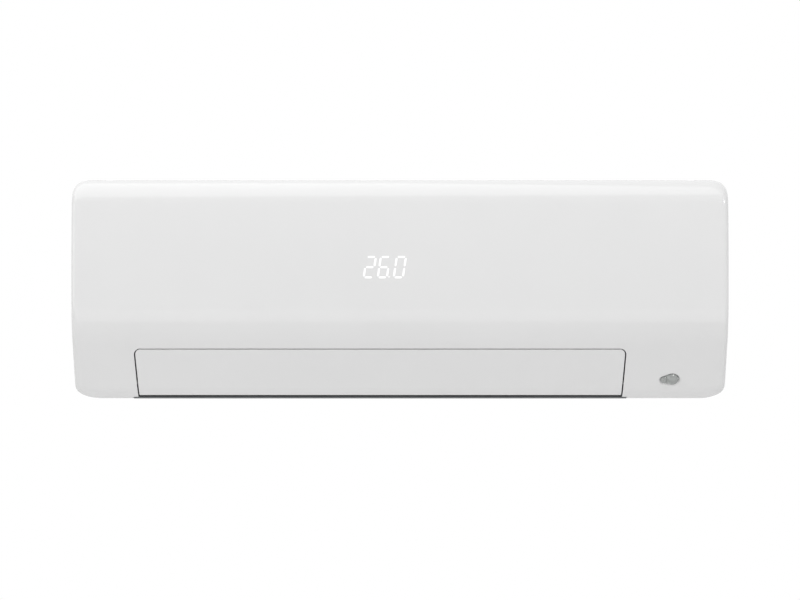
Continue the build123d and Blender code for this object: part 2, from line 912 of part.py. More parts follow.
def wall_plate():
    """Galvanised plate that is screwed to the wall, with pressed ribs and hanging hooks."""
    low = -plate_height / 2
    plate = block(-plate_width / 2, plate_width / 2, 0.0, plate_wall, low, plate_height / 2)
    plate = chamfer(plate.edges().filter_by(Axis.Y), plate_corner)
    half = plate_width / 2 - plate_rib_inset
    for z in plate_ribs:
        low = z - plate_rib_half
        rib = block(-half, half, plate_wall, plate_wall + plate_rib_rise, low, low + 2 * plate_rib_half)
        plate += chamfer(rib.edges().group_by(Axis.Y)[0], plate_rib_rise - 0.3)
    for x in (-screw_spacing_x / 2, screw_spacing_x / 2):
        for z in (-screw_spacing_z / 2, screw_spacing_z / 2):
            plate -= Pos(x, 0, z) * Rot(90, 0, 0) * Cylinder(screw_hole_radius, 10.0)
    for x in hook_places():
        x0 = x - hook_width / 2
        x1 = x0 + hook_width
        hook = block(x0, x1, 0.0, plate_wall, plate_height / 2 - 1.0, hook_height + plate_wall)
        hook += block(x0, x1, 0.0, hook_reach, hook_height, hook_height + plate_wall)
        hook += block(x0, x1, hook_reach - plate_wall, hook_reach, hook_height, hook_height + hook_reach)
        plate += hook
    return plate


def hook_places():
    """X of the two hanging hooks."""
    return [-hook_offset, hook_offset]


def case_screws():
    """Countersunk screws through the underside of the frame."""
    screws = []
    base = bottom + screw_sink
    middle = base + screw_head_height / 2 + screw_length / 2
    for x in (-screw_offset, screw_offset):
        head = Pos(x, -screw_depth, base + screw_head_height / 2) * peg(screw_head_radius, screw_head_height)
        shank = Pos(x, -screw_depth, middle) * peg(screw_radius, screw_length)
        screws.append(head + shank)
    return Compound(children=[screw.solid() for screw in screws])


# ------------------------------------------------------------------ fan group
def fan_x(index):
    """Left end of one fan segment."""
    left = outlet_left + fan_end_gap
    return left + index * (outlet_right - fan_end_gap - left) / fan_segments


def blade_face():
    """Forward-curved blade, centred on its chord, near the top of the wheel."""
    inner = fan_radius - blade_ring
    outer = fan_radius - 0.6
    sweep_angle = math.radians(blade_sweep)
    end = Vector(outer * math.sin(sweep_angle), outer * math.cos(sweep_angle))
    start = Vector(0.0, inner)
    chord = end - start
    rise = Vector(-chord.Y, chord.X).normalized()
    crown = [start + chord * share + rise * blade_camber for share in (0.3, 0.7)]
    half = rise * blade_wall / 2
    outline_points = [start, crown[0] + half, crown[1] + half, end, crown[1] - half, crown[0] - half]
    return make_face(Polyline(*outline_points, close=True))


def fan_segment(index):
    """One moulded length of the wheel: a ring at its right end and the ring of blades."""
    x0 = fan_x(index)
    x1 = fan_x(index + 1)
    blade = blade_face()
    blades = Sketch()
    for k in range(fan_blades):
        blades += Rot(0, 0, 360.0 * k / fan_blades) * blade
    ring = RegularPolygon(fan_radius, fan_blades) - RegularPolygon(fan_radius - blade_ring - 1.0, fan_blades)
    wheel = extrude(cross_plane(x0, fan_depth, fan_height) * blades, x1 - x0 - fan_disc)
    return wheel + extrude(cross_plane(x1 - fan_disc, fan_depth, fan_height) * ring, fan_disc)


def wheel_disc(x0):
    """Closed end disc of the wheel, with a flat for each blade."""
    return extrude(cross_plane(x0, fan_depth, fan_height) * RegularPolygon(fan_radius, fan_blades), fan_disc)


def fan_left_cap():
    """Left end disc of the wheel with its steel stub shaft."""
    x0 = fan_x(0)
    cap = wheel_disc(x0 - fan_disc)
    cap += rod(x0 - 2 * fan_disc, x0, fan_depth, fan_height, fan_hub_radius)
    return cap + rod(bearing_left + 1.0, x0, fan_depth, fan_height, shaft_radius)


def fan_hub():
    """Right end disc with the clamping hub and the motor shaft."""
    x1 = fan_x(fan_segments)
    disc = wheel_disc(x1)
    hub = rod(x1 - fan_hub_length, x1 + 2 * fan_disc, fan_depth, fan_height, fan_hub_radius)
    return disc + hub + rod(x1, motor_start - shaft_end_gap, fan_depth, fan_height, shaft_radius)


def fan_motor():
    """Resin-packed motor: a stepped shell with a boss round the shaft."""
    steps = [
        (0.0, 4.0, 13.0),
        (4.0, 8.0, motor_radius - 5.0),
        (8.0, motor_length - 6.0, motor_radius),
        (motor_length - 6.0, motor_length, motor_radius - 8.0),
    ]
    shell = Part()
    for start, end, radius in steps:
        shell += rod(motor_start + start, motor_start + end, fan_depth, fan_height, radius)
    return shell


def motor_mount():
    """Moulded band round the motor with its foot on the back wall."""
    x0 = motor_start + motor_band_start
    x1 = x0 + motor_band_width
    half = motor_foot / 2
    band = rod(x0, x1, fan_depth, fan_height, motor_radius + motor_band_wall)
    back = back_wall_depth + back_wall / 2 + seat_gap
    band += block(x0, x1, back, fan_depth - motor_radius, fan_height - half, fan_height + half)
    return band - rod(x0 - 1, x1 + 1, fan_depth, fan_height, motor_radius + seat_gap, True)


def bearing_housing():
    """Cup on the left chamber wall that holds the bush."""
    wall = outlet_left - duct_side_wall
    cup = rod(bearing_left, wall, fan_depth, fan_height, bush_radius + bearing_wall)
    cup += rod(wall - bearing_flange_wall, wall, fan_depth, fan_height, bush_radius + bearing_flange)
    return cup - rod(bearing_left - 1, wall + 1, fan_depth, fan_height, bush_radius + bush_clearance, True)


def bearing_bush():
    """Rubber-mounted bush round the fan's stub shaft."""
    wall = outlet_left - duct_side_wall
    bush = rod(bearing_left + 0.5, wall - 0.5, fan_depth, fan_height, bush_radius)
    return bush - rod(bearing_left - 1, wall + 1, fan_depth, fan_height, shaft_radius + shaft_clearance, True)


# ------------------------------------------------------------------ outlet group
def floor_pin(x, back, low, high, radius, hole=False):
    """Round pin square to the outlet floor, between two heights above it."""
    base = on_floor(back, low)
    plane = Plane(origin=(x, -base[0], base[1]), z_dir=(0, -floor_normal[0], floor_normal[1]))
    return extrude(plane * round_face(radius, hole), high - low)


def vane_places():
    """X of every swing vane, in two groups either side of the middle support."""
    places = []
    for side in (-1, 1):
        for k in range(vanes_per_group):
            places.append(outlet_middle + side * (vane_first + k * vane_pitch))
    return sorted(places)


def vane(x):
    """Thin upright blade with a pivot pin in the floor and a pin for the link bar."""
    clear = moulding_wall / 2 + vane_floor_gap
    notch_low = link_height - link_side_gap
    notch_high = link_height + link_thickness + link_side_gap
    heel = vane_pivot_reach + vane_back_reach
    front = vane_link_reach - vane_front_lap
    notch_back = vane_link_reach + link_width
    corners = [
        on_floor(front, clear),
        on_floor(front, notch_low),
        on_floor(notch_back, notch_low),
        on_floor(notch_back, notch_high),
        on_floor(front, notch_high),
        on_floor(front + 2.0, vane_height - 7.0),
        on_floor(front + 5.0, vane_height),
        on_floor(vane_pivot_reach - 7.0, vane_height),
        on_floor(vane_pivot_reach - 1.0, vane_height - 9.0),
        on_floor(heel, vane_back_height),
        on_floor(heel, clear),
    ]
    blade = prism(corners, x - vane_wall / 2, x + vane_wall / 2)
    blade -= rod(x - vane_wall, x + vane_wall, fan_depth, fan_height, fan_radius + vane_fan_gap, True)
    blade += floor_pin(x, vane_pivot_reach, -moulding_wall / 2, clear + 6.0, vane_pin_radius)
    return blade + floor_pin(x, vane_link_reach, notch_low - 0.5, notch_high + 0.5, vane_pin_radius)


def link_bar(places):
    """Flat bar that ties one group of vanes together."""
    ends = [
        on_floor(vane_link_reach + link_width / 2, link_height),
        on_floor(vane_link_reach + link_width / 2, link_height + link_thickness),
        on_floor(vane_link_reach - link_width / 2, link_height + link_thickness),
        on_floor(vane_link_reach - link_width / 2, link_height),
    ]
    bar = prism(ends, min(places) - link_end, max(places) + link_end)
    hole = vane_pin_radius + vane_pin_clearance
    high = link_height + link_thickness + 1.0
    for x in places:
        bar -= floor_pin(x, vane_link_reach, link_height - 1.0, high, hole, True)
    return bar


def louvre(skin):
    """Air flap: a piece of the case skin with stiffening ribs, end tabs and pivot pins."""
    blade = skin & outlet_window(0.0)
    blade &= block(louvre_left - 5, louvre_right + 5, 60.0, case_depth + 5, louvre_bottom, louvre_top)
    pivot = (louvre_pivot_depth, louvre_pivot_height)
    for x0, x1 in louvre_tabs():
        tab = prism(
            [
                (pivot[0] - 4.0, pivot[1] + 4.0), (pivot[0] - 3.0, pivot[1] - 5.0),
                (pivot[0] + 2.0, pivot[1] - 16.0), (pivot[0] + 40.0, pivot[1] + 16.0),
                (pivot[0] + 20.0, pivot[1] + 12.0),
            ],
            x0,
            x1,
        )
        blade += tab & case_slice(case_wall - 0.4, x0 - 1, x1 + 1)
        blade += rod(x0, x1, *pivot, louvre_hub_radius)
    rib_ends = (louvre_tabs()[0][1], louvre_tabs()[-1][0])
    ribs = case_slice(case_wall - 0.4, *rib_ends) - case_slice(case_wall + louvre_rib_rise, *rib_ends)
    for z in louvre_rib_heights:
        blade += ribs & block(*rib_ends, 100.0, case_depth, z - louvre_rib_half, z + louvre_rib_half)
    wall = outlet_left - duct_side_wall
    blade += rod(wall - 2.0, louvre_tabs()[0][0] + 1.0, *pivot, louvre_pin_radius)
    blade += rod(louvre_tabs()[-1][1] - 1.0, outlet_right + duct_side_wall + 1.5, *pivot, louvre_pin_radius)
    blade += rod(louvre_tabs()[1][1] - 1.0, louvre_tabs()[2][0] + 1.0, *pivot, louvre_pin_radius)
    return blade


def louvre_tabs():
    """X ranges of the louvre's tabs: one at each end and a pair round the middle support."""
    half = support_width / 2 + louvre_tab_gap
    starts = [
        louvre_left + louvre_tab_inset,
        outlet_middle - half - louvre_tab,
        outlet_middle + half,
        louvre_right - louvre_tab_inset - louvre_tab,
    ]
    return [(start, start + louvre_tab) for start in starts]


def louvre_support():
    """Arm that hangs from the outlet's roof and carries the louvre's middle pin."""
    x0 = outlet_middle - support_width / 2
    x1 = outlet_middle + support_width / 2
    pivot = (louvre_pivot_depth, louvre_pivot_height)
    roof = (pan_tongue[0] + 16.0, pan_tongue[1] - 11.0)
    arm = prism(
        [
            (pivot[0] - 3.5, pivot[1]), (pivot[0] + 3.5, pivot[1] + 2.0),
            (roof[0] + 8.0, roof[1] - 1.4), (roof[0] - 12.0, roof[1] + 11.6),
        ],
        x0,
        x1,
    )
    arm += rod(x0, x1, *pivot, louvre_hub_radius)
    arm -= drain_wedge(seat_gap)
    return arm - rod(x0 - 1, x1 + 1, *pivot, louvre_pin_radius + shaft_clearance, True)


def louvre_motor():
    """Geared stepper motor beside the outlet, with its nose on the louvre's pin."""
    x0 = outlet_right + duct_side_wall
    body_d = louvre_pivot_depth + louvre_motor_offset[0]
    body_z = louvre_pivot_height + louvre_motor_offset[1]
    bore = louvre_pin_radius + seat_gap
    plane = Plane.YZ.offset(x0 + seat_gap)
    ear = make_hull(
        (Pos(-body_d, body_z) * round_face(louvre_motor_radius)).edges()
        + (Pos(-louvre_pivot_depth, louvre_pivot_height) * round_face(louvre_nose_radius)).edges()
    )
    motor = extrude(plane * ear, louvre_motor_ear)
    motor += rod(x0 + seat_gap, x0 + louvre_motor_length, body_d, body_z, louvre_motor_radius)
    return motor - rod(x0, x0 + louvre_nose_bore, louvre_pivot_depth, louvre_pivot_height, bore, True)


def drain_wedge(grow):
    """Body of the drain pan: the outlet's roof with the fan's tongue at its back."""
    points = [
        (pan_front + grow, coil_base + pan_rim),
        (pan_front + grow, -62.0),
        (pan_front - 9.0, -77.5 - grow),
        (pan_tongue[0], pan_tongue[1] - grow * 1.5),
        (pan_back - 3.0, coil_base + pan_rim),
    ]
    return prism(points, outlet_left + seat_gap, outlet_right - seat_gap, [0, 4.0, 2.0, 1.6, 0])


def drain_pan():
    """Moulded trough under the front coil, filled with foam, with an end box on each side."""
    pan = drain_wedge(0.0)
    rim = coil_base + pan_rim
    base = pan_ledge + seat_gap
    pan += block(pan_left, outlet_left + 1.0, pan_back - pan_wall, pan_front, base, rim)
    pan += block(outlet_right - 1.0, pan_right, pan_back - pan_wall, pan_front, base, rim)
    inner = (pan_left + pan_wall, pan_right - pan_wall, pan_back, pan_front - pan_wall - 0.5)
    pan -= block(*inner, pan_ledge + pan_floor, rim + 2.0)
    pan -= Pos(spout_x, -spout_depth, pan_ledge) * peg(drain_radius - drain_wall, 14.0, True)
    hole = plug_radius + plug_clearance
    return pan - rod(pan_right - 5.0, pan_right + 1.0, pan_plug_depth, pan_plug_height, hole, True)


def drain_spout():
    """Bent drain spout from the pan to the pipe channel, with a round end for the drain hose."""
    start = (spout_x, -spout_depth, pan_ledge + seat_gap)
    corner = (spout_x, -spout_depth, spout_height)
    tip = channel_depth - 20.0
    end = (spout_x, -tip, spout_height)
    path = in_flats(FilletPolyline(start, corner, end, radius=drain_bend))
    elbow = tube_along(path, round_face(drain_radius))
    place = Pos(spout_x, -tip - drain_sleeve / 2, spout_height)
    sleeve = place * facing() * Cylinder(drain_radius, drain_sleeve)
    bore = drain_radius - drain_wall
    elbow = elbow + sleeve - Pos(spout_x, -channel_depth, spout_height) * facing() * peg(bore, 50.0, True)
    return elbow - Pos(start) * peg(bore, 16.0, True)


def drain_plug():
    """Rubber plug in the unused drain outlet."""
    face = pan_right + seat_gap
    head = rod(face, face + plug_head, pan_plug_depth, pan_plug_height, plug_head_radius)
    return head + rod(pan_right - 2.0, face + 0.7, pan_plug_depth, pan_plug_height, plug_radius)


# ------------------------------------------------------------------ heat exchanger group
def slab_corners(low, high, grow=0.0):
    """Corners of a coil slab given its centre line, optionally grown all round."""
    run, rise = unit(low, high)
    half = coil_thickness / 2 + grow
    return [
        (low[0] - run * grow + rise * half, low[1] - rise * grow - run * half),
        (high[0] + run * grow + rise * half, high[1] + rise * grow - run * half),
        (high[0] + run * grow - rise * half, high[1] + rise * grow + run * half),
        (low[0] - run * grow - rise * half, low[1] - rise * grow + run * half),
    ]


def coil_slabs():
    """Name, low and high end of each slab's centre line."""
    front = pan_back + pan_seat + coil_thickness / 2
    return [
        ("coil_front_lower", (front, coil_base), (front, coil_front_top)),
        ("coil_front_upper", (front - 1.5, coil_front_top + 12.0), coil_front_high),
        ("coil_rear", coil_rear_low, coil_rear_high),
    ]


def coil_end_plate(x0):
    """Sheet-steel plate at one end of the coil, with feet in the pan and on the tray."""
    plate = None
    for _, low, high in coil_slabs():
        piece = prism(slab_corners(low, high, 1.5), x0, x0 + end_plate_wall)
        plate = piece if plate is None else plate + piece
    front = coil_slabs()[0][1]
    joint = coil_slabs()[1][1]
    plate += block(x0, x0 + end_plate_wall, front[0] - 10, front[0] + 8, pan_ledge + 3.1, front[1] + 4)
    plate += block(x0, x0 + end_plate_wall, joint[0] - 9, joint[0] + 8, coil_front_top - 4, joint[1] + 4)
    ridge = (coil_front_high[0] + coil_rear_high[0]) / 2
    plate += block(x0, x0 + end_plate_wall, ridge - 8, ridge + 8, coil_rear_high[1] - 10, coil_rear_high[1])
    depth, height = coil_rear_low
    foot = tray_height + moulding_wall / 2 + 1.2
    return plate + block(x0, x0 + end_plate_wall, depth - 8, depth + 6, foot, height)


def return_bends():
    """Copper hairpin bends on the left end of the coil, each turned in four mitred corners."""
    x_end = coil_left - end_plate_wall
    reach = bend_pitch / 2
    corner = reach * math.tan(math.radians(22.5))
    share = (reach - corner) / bend_pitch
    turn = [
        (0.0, 0.0), (bend_start + corner, 0.0), (bend_start + reach, share),
        (bend_start + reach, 1.0 - share), (bend_start + corner, 1.0), (0.0, 1.0),
    ]
    bends = []
    for _, low, high in coil_slabs():
        length = math.hypot(high[0] - low[0], high[1] - low[1])
        count = int(((length - 10.0) / bend_pitch + 1) // 2)
        first = (length - (2 * count - 1) * bend_pitch) / 2
        for k in range(count):
            near = first + 2 * k * bend_pitch
            points = [along_slab(low, high, x_end - out, near + part * bend_pitch) for out, part in turn]
            bends.append(tube_along(points, RegularPolygon(tube_radius, pipe_flats)).solid())
    return Compound(children=bends)


def along_slab(low, high, x, distance):
    """Point on a slab's centre line at a distance from its low end."""
    run, rise = unit(low, high)
    return (x, -(low[0] + run * distance), low[1] + rise * distance)


# ------------------------------------------------------------------ filters
def filter_path():
    """Side-section path of a filter: up behind the panel and back under the grille, in short flats."""
    bend_top = top - filter_shoulder
    corners = [
        (filter_depth, filter_base),
        (filter_depth + filter_lean, bend_top),
        (filter_crest, filter_top),
        (filter_back, filter_top),
    ]
    path = FilletPolyline(*corners, radius=filter_bends)
    return [(point.X, point.Y) for point in in_flats(path)]


def air_filter(x0, x1):
    """Curved filter: thin mesh sheet in a raised frame with cross ribs and a pull tab."""
    path = filter_path()
    sheet = strip(path, filter_mesh, x0 + 0.5, x1 - 0.5)
    frame = strip(path, filter_wall, x0, x0 + filter_edge)
    frame += strip(path, filter_wall, x1 - filter_edge, x1)
    for k in range(1, filter_bays):
        x = x0 + k * (x1 - x0) / filter_bays
        frame += strip(path, filter_wall, x - 1.0, x + 1.0)
    body = sheet + frame
    for rise in filter_bars:
        z = filter_base + rise
        lean = filter_depth + rise * filter_lean / (top - filter_shoulder - filter_base)
        body += block(x0, x1, lean - filter_wall / 2, lean + filter_wall / 2, z, z + filter_bar)
    middle = (x0 + x1) / 2
    z = filter_base + filter_bars[1]
    half = filter_tab_width / 2
    tab = block(middle - half, middle + half, filter_depth - 0.4, filter_depth + filter_tab_reach, z, z + 2.0)
    return body + tab


# ------------------------------------------------------------------ electrics
def control_box():
    """Moulded tray for the electronics, with board posts and a shelf for the terminals."""
    tray = block(box_left, box_right, box_back, box_front, box_base, box_top)
    x0 = box_left + box_wall
    z0 = box_base + box_wall
    tray -= block(x0, box_right - box_wall, box_back + box_wall, box_front + 1, z0, box_top - box_wall)
    length = board_lift - 1.5
    post = facing() * peg(board_post_radius, length)
    middle = box_back + board_lift - length / 2
    for x in (box_left + board_post_inset, box_right - board_post_inset):
        for z in (box_base + board_post_inset, box_top - board_post_inset):
            tray += Pos(x, -middle, z) * post
    face = box_back + board_post_inset
    depths = (face, face + terminal_shelf_wall)
    return tray + block(box_left + 12, box_right - 20, *depths, box_base - terminal_shelf, box_base + 1)


def control_cover():
    """Sheet-metal shield over the front of the control box."""
    front = box_front + seat_gap
    return block(box_left, box_right, front, front + 1.0, box_base, box_top)


def main_board():
    """Circuit board with its relays, capacitor, transformer and connectors."""
    face = box_back + board_lift + seat_gap
    front = face + board_wall
    x0 = box_left + board_edge
    x1 = box_right - board_edge
    board = block(x0, x1, face, front, box_base + board_edge, box_top - board_edge)
    parts = [
        (16, 34, 18, 58, 78), (40, 54, 15, 62, 80), (60, 90, 24, 50, 84), (14, 30, 12, 16, 44),
        (38, 60, 9, 14, 30), (70, 100, 10, 14, 24), (64, 76, 14, 32, 44), (84, 100, 12, 30, 42),
    ]
    for x0, x1, high, z0, z1 in parts:
        board += block(box_left + x0, box_left + x1, front, front + high, box_base + z0, box_base + z1)
    capacitor = Pos(box_left + 48.0, -(front + 12.0), box_base + 45.0) * facing() * peg(8.0, 24.0)
    return board + capacitor


def terminal_place():
    """Left end, back face and bottom of the terminal block, on the box's shelf."""
    face = box_back + board_post_inset + terminal_shelf_wall
    return box_left + terminal_inset, face, box_base - terminal_drop


def terminal_block():
    """Screw terminals for the interconnecting wires."""
    x0, face, z0 = terminal_place()
    x1 = x0 + terminal_width
    body = block(x0, x1, face, face + terminal_base, z0, z0 + terminal_height)
    body += block(x0, x1, face, face + terminal_rise, z0 + 9.0, z0 + 15.0)
    for k in range(terminal_count + 1):
        wall_x = x0 + k * (terminal_width - terminal_wall) / terminal_count
        body += block(wall_x, wall_x + terminal_wall, face, face + terminal_rise, z0, z0 + terminal_height)
    return body


def terminal_screws():
    """Screws of the terminal block."""
    x0, face, z0 = terminal_place()
    pitch = (terminal_width - terminal_wall) / terminal_count
    screws = []
    for k in range(terminal_count):
        for z in (z0 + 4.5, z0 + terminal_height - 4.5):
            place = Pos(x0 + 7.0 + k * pitch, -(face + terminal_base + 1.4), z)
            screws.append((place * facing() * peg(terminal_screw_radius, 2.6)).solid())
    return Compound(children=screws)


def switch_board():
    """Small board with the push switch behind the manual button."""
    face = button_face - button_board_gap
    half, tall = (size / 2 for size in switch_board_size)
    board = block(
        button_x - half, button_x + half, face - board_wall, face, button_height - tall, button_height + tall
    )
    middle = face + switch_height / 2
    return board + Pos(button_x, -middle, button_height) * Box(6.0, switch_height, 6.0)


def auto_button():
    """Manual on-off button with a retaining flange behind the frame."""
    place = Pos(button_x, 0, button_height) * facing()
    length = button_reach - button_recess
    stem = place * Pos(0, 0, button_face - button_recess - length / 2) * peg(button_radius, length)
    back = button_face - frame_wall - button_stop_gap - button_flange_wall / 2
    flange = place * Pos(0, 0, back) * peg(button_radius + button_flange, button_flange_wall)
    return stem + flange


def room_sensor():
    """Room-temperature probe in its clip on the coil's end plate."""
    x0 = coil_right + end_plate_wall + seat_gap
    probe = rod(x0 + 2.0, x0 + sensor_length, sensor_depth, sensor_height, sensor_radius)
    low = sensor_height - 4.0
    clip = block(x0, x0 + 5.0, sensor_depth - 22.0, sensor_depth + 3.5, low, low + 8.0)
    return probe + clip


# ------------------------------------------------------------------ pipes
def pipe(radius, points, bend, end):
    """Copper pipe along a route with round bends, open at its left end."""
    body = tube_along(in_flats(FilletPolyline(*points, radius=bend)), RegularPolygon(radius, pipe_flats))
    depth, height = end
    body += extrude(cross_plane(pipe_end, depth, height) * Circle(radius), pipe_free)
    return body - rod(pipe_end - 1.0, pipe_end + pipe_bore_depth, depth, height, radius - pipe_wall)


def pipe_route(x_drop, start, depth, height):
    """From the coil's right end, down behind the motor and left along the channel."""
    x0 = coil_right + end_plate_wall + seat_gap
    return [
        (x0, -start[0], start[1]),
        (x_drop, -start[0], start[1]),
        (x_drop, -depth, start[1] - 22.0),
        (x_drop, -depth, height),
        (pipe_end, -depth, height),
    ]


def flare_nuts():
    """Brass flare nuts on the ends of the two pipes."""
    nuts = []
    for radius, flats, depth, height in (
        (gas_pipe_radius, gas_nut_flats, gas_depth, gas_height),
        (liquid_pipe_radius, liquid_nut_flats, liquid_depth, liquid_height),
    ):
        face = RegularPolygon(flats / 2, 6, major_radius=False) - round_face(radius + pipe_clearance, True)
        place = cross_plane(pipe_end + pipe_free + nut_gap, depth, height)
        nuts.append(extrude(place * face, flats * 0.9).solid())
    return Compound(children=nuts)


def pipe_clamp():
    """Strap that holds both pipes to the channel wall."""
    x1 = clamp_x + clamp_width
    front = channel_depth - back_wall - seat_gap
    clamp = block(clamp_x, x1, 12.0, front, liquid_height - clamp_margin + 1.0, gas_height + clamp_margin)
    for radius, depth, height in (
        (gas_pipe_radius, gas_depth, gas_height),
        (liquid_pipe_radius, liquid_depth, liquid_height),
    ):
        clamp -= rod(clamp_x - 1, x1 + 1, depth, height, radius + 2 * pipe_clearance, True)
    return clamp


# ------------------------------------------------------------------ write the pieces
def build():
    """Every node of the unit by name."""
    skin = case_body(0.0) - case_body(case_wall)
    parts = {
        "front_panel": front_panel(skin),
        "front_frame": front_frame(skin),
        "rear_casing": rear_casing(),
        "wall_plate": wall_plate(),
        "case_screws": case_screws(),
        "sensor_lens": sensor_lens(),
        "receiver_board": receiver_board(),
        "display_board": display_board(),
        "display_housing": display_housing(),
        "louvre": louvre(skin),
        "louvre_support": louvre_support(),
        "louvre_motor": louvre_motor(),
        "fan_left_cap": fan_left_cap(),
        "fan_hub": fan_hub(),
        "fan_motor": fan_motor(),
        "motor_mount": motor_mount(),
        "bearing_housing": bearing_housing(),
        "bearing_bush": bearing_bush(),
        "coil_end_plate_left": coil_end_plate(coil_left - end_plate_wall),
        "coil_end_plate_right": coil_end_plate(coil_right),
        "return_bends": return_bends(),
        "drain_pan": drain_pan(),
        "drain_spout": drain_spout(),
        "drain_plug": drain_plug(),
        "control_box": control_box(),
        "control_cover": control_cover(),
        "main_board": main_board(),
        "terminal_block": terminal_block(),
        "terminal_screws": terminal_screws(),
        "switch_board": switch_board(),
        "auto_button": auto_button(),
        "room_sensor": room_sensor(),
        "gas_pipe": pipe(
            gas_pipe_radius,
            pipe_route(gas_drop_x, gas_start, gas_depth, gas_height),
            pipe_bend,
            (gas_depth, gas_height),
        ),
        "liquid_pipe": pipe(
            liquid_pipe_radius,
            pipe_route(liquid_drop_x, liquid_start, liquid_depth, liquid_height),
            pipe_bend,
            (liquid_depth, liquid_height),
        ),
        "flare_nuts": flare_nuts(),
        "pipe_clamp": pipe_clamp(),
    }
    for index in range(fan_segments):
        parts[f"fan_segment_{index + 1}"] = fan_segment(index)
    for name, low, high in coil_slabs():
        parts[name] = prism(slab_corners(low, high), coil_left, coil_right)
    for side, (x0, x1) in zip(("left", "right"), filter_spans()):
        parts[f"filter_{side}"] = air_filter(x0, x1)
    places = vane_places()
    for side, group in (("left", places[:vanes_per_group]), ("right", places[vanes_per_group:])):
        for index, x in enumerate(group):
            parts[f"vane_{side}_{index + 1}"] = vane(x)
        parts[f"link_bar_{side}"] = link_bar(group)
    return parts


os.makedirs("parts", exist_ok=True)
for node, shape in build().items():
    export_step(shape, f"parts/{node}.step")
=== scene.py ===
import json
import math

import bmesh
import bpy
from mathutils import Matrix, Vector
from mathutils.bvhtree import BVHTree

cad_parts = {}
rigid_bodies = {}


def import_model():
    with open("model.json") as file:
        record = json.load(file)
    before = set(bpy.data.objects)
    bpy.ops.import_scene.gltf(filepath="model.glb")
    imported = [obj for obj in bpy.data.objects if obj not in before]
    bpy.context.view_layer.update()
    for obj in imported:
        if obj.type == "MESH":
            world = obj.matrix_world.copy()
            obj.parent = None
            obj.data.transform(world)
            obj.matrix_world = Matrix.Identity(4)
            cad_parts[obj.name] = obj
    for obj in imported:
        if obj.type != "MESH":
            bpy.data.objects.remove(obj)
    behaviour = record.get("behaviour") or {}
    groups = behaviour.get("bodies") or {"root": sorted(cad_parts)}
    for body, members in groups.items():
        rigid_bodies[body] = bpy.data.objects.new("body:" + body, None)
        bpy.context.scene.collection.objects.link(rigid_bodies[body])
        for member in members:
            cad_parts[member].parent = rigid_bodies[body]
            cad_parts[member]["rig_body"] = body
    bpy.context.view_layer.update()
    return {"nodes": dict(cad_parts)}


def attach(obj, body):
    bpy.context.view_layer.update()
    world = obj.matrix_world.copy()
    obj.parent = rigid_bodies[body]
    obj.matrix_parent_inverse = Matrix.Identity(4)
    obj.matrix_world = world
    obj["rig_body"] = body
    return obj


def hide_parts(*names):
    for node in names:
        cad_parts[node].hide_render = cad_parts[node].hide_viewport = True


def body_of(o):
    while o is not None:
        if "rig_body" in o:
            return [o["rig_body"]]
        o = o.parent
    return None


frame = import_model()

# ------------------------------------------------------------------ camera
# A straight-on product view through a long lens: one pixel is 1.32 mm at the front of the unit,
# and the middle of the picture lies 13.6 mm below the middle of the wall screws.
mm = 0.001
front_depth = 210 * mm
picture_width = 1051.5 * mm
picture_middle = -13.6 * mm
lens_length = 204.0
sensor_width = 36.0
far_clip = 50.0
camera_distance = picture_width * lens_length / sensor_width
camera_data = bpy.data.cameras.new("camera")
camera_data.lens = lens_length
camera_data.sensor_width = sensor_width
camera_data.clip_end = far_clip
camera = bpy.data.objects.new("camera", camera_data)
camera.location = (0.0, -front_depth - camera_distance, picture_middle)
camera.rotation_euler = (math.radians(90), 0.0, 0.0)
bpy.context.scene.collection.objects.link(camera)
bpy.context.scene.camera = camera
bpy.context.scene.view_settings.view_transform = "Standard"

# ------------------------------------------------------------------ studio
# A pale floor well below the unit and a white surround, a little brighter above than below. A broad
# soft box hangs overhead and one stands at each side. A low strip in front gives the gloss its pale
# band above the air flap, and a small lamp puts a spark in the receiver window.
floor_height = -1.3
floor_reach = 9.0
floor_fades_from = 2.0
floor_gone_at = 7.0
dimmest_surround = 0.53
brightest_surround = 0.81
lamp_aim = Vector((0.0, -0.1, 0.0))


def linear(code):
    """Linear colour of an sRGB hex value."""
    parts = [int(code[i:i + 2], 16) / 255 for i in (1, 3, 5)]
    return [p / 12.92 if p <= 0.04045 else ((p + 0.055) / 1.055) ** 2.4 for p in parts] + [1.0]


def add_node(tree, kind, settings=None, links=None):
    """Adds a node, sets its sockets or properties by name, and links the named sockets."""
    node = tree.nodes.new(kind)
    for key, value in (settings or {}).items():
        if isinstance(key, int) or key in node.inputs:
            node.inputs[key].default_value = value
        else:
            setattr(node, key, value)
    for key, source in (links or {}).items():
        tree.links.new(source, node.inputs[key])
    return node


world = bpy.data.worlds.new("studio")
world.use_nodes = True
tree = world.node_tree
tree.nodes.clear()
direction = add_node(tree, "ShaderNodeTexCoord")
height = add_node(tree, "ShaderNodeSeparateXYZ", links={0: direction.outputs["Generated"]})
lift = {"From Min": -1.0, "From Max": 1.0, "To Min": dimmest_surround, "To Max": brightest_surround}
ramp = add_node(tree, "ShaderNodeMapRange", lift, {0: height.outputs["Z"]})
surround = add_node(tree, "ShaderNodeBackground", links={"Strength": ramp.outputs[0]})
backdrop = add_node(tree, "ShaderNodeBackground", {"Strength": 1.0, "Color": (1, 1, 1, 1)})
rays = add_node(tree, "ShaderNodeLightPath")
seen = add_node(tree, "ShaderNodeMath", {"operation": "MAXIMUM"},
                {0: rays.outputs["Is Camera Ray"], 1: rays.outputs["Is Transmission Ray"]})
mirrored = add_node(tree, "ShaderNodeMath", {"operation": "MAXIMUM"},
                    {0: rays.outputs["Is Glossy Ray"], 1: seen.outputs[0]})
mixed = add_node(tree, "ShaderNodeMixShader",
                 links={0: mirrored.outputs[0], 1: surround.outputs[0], 2: backdrop.outputs[0]})
add_node(tree, "ShaderNodeOutputWorld", links={0: mixed.outputs[0]})
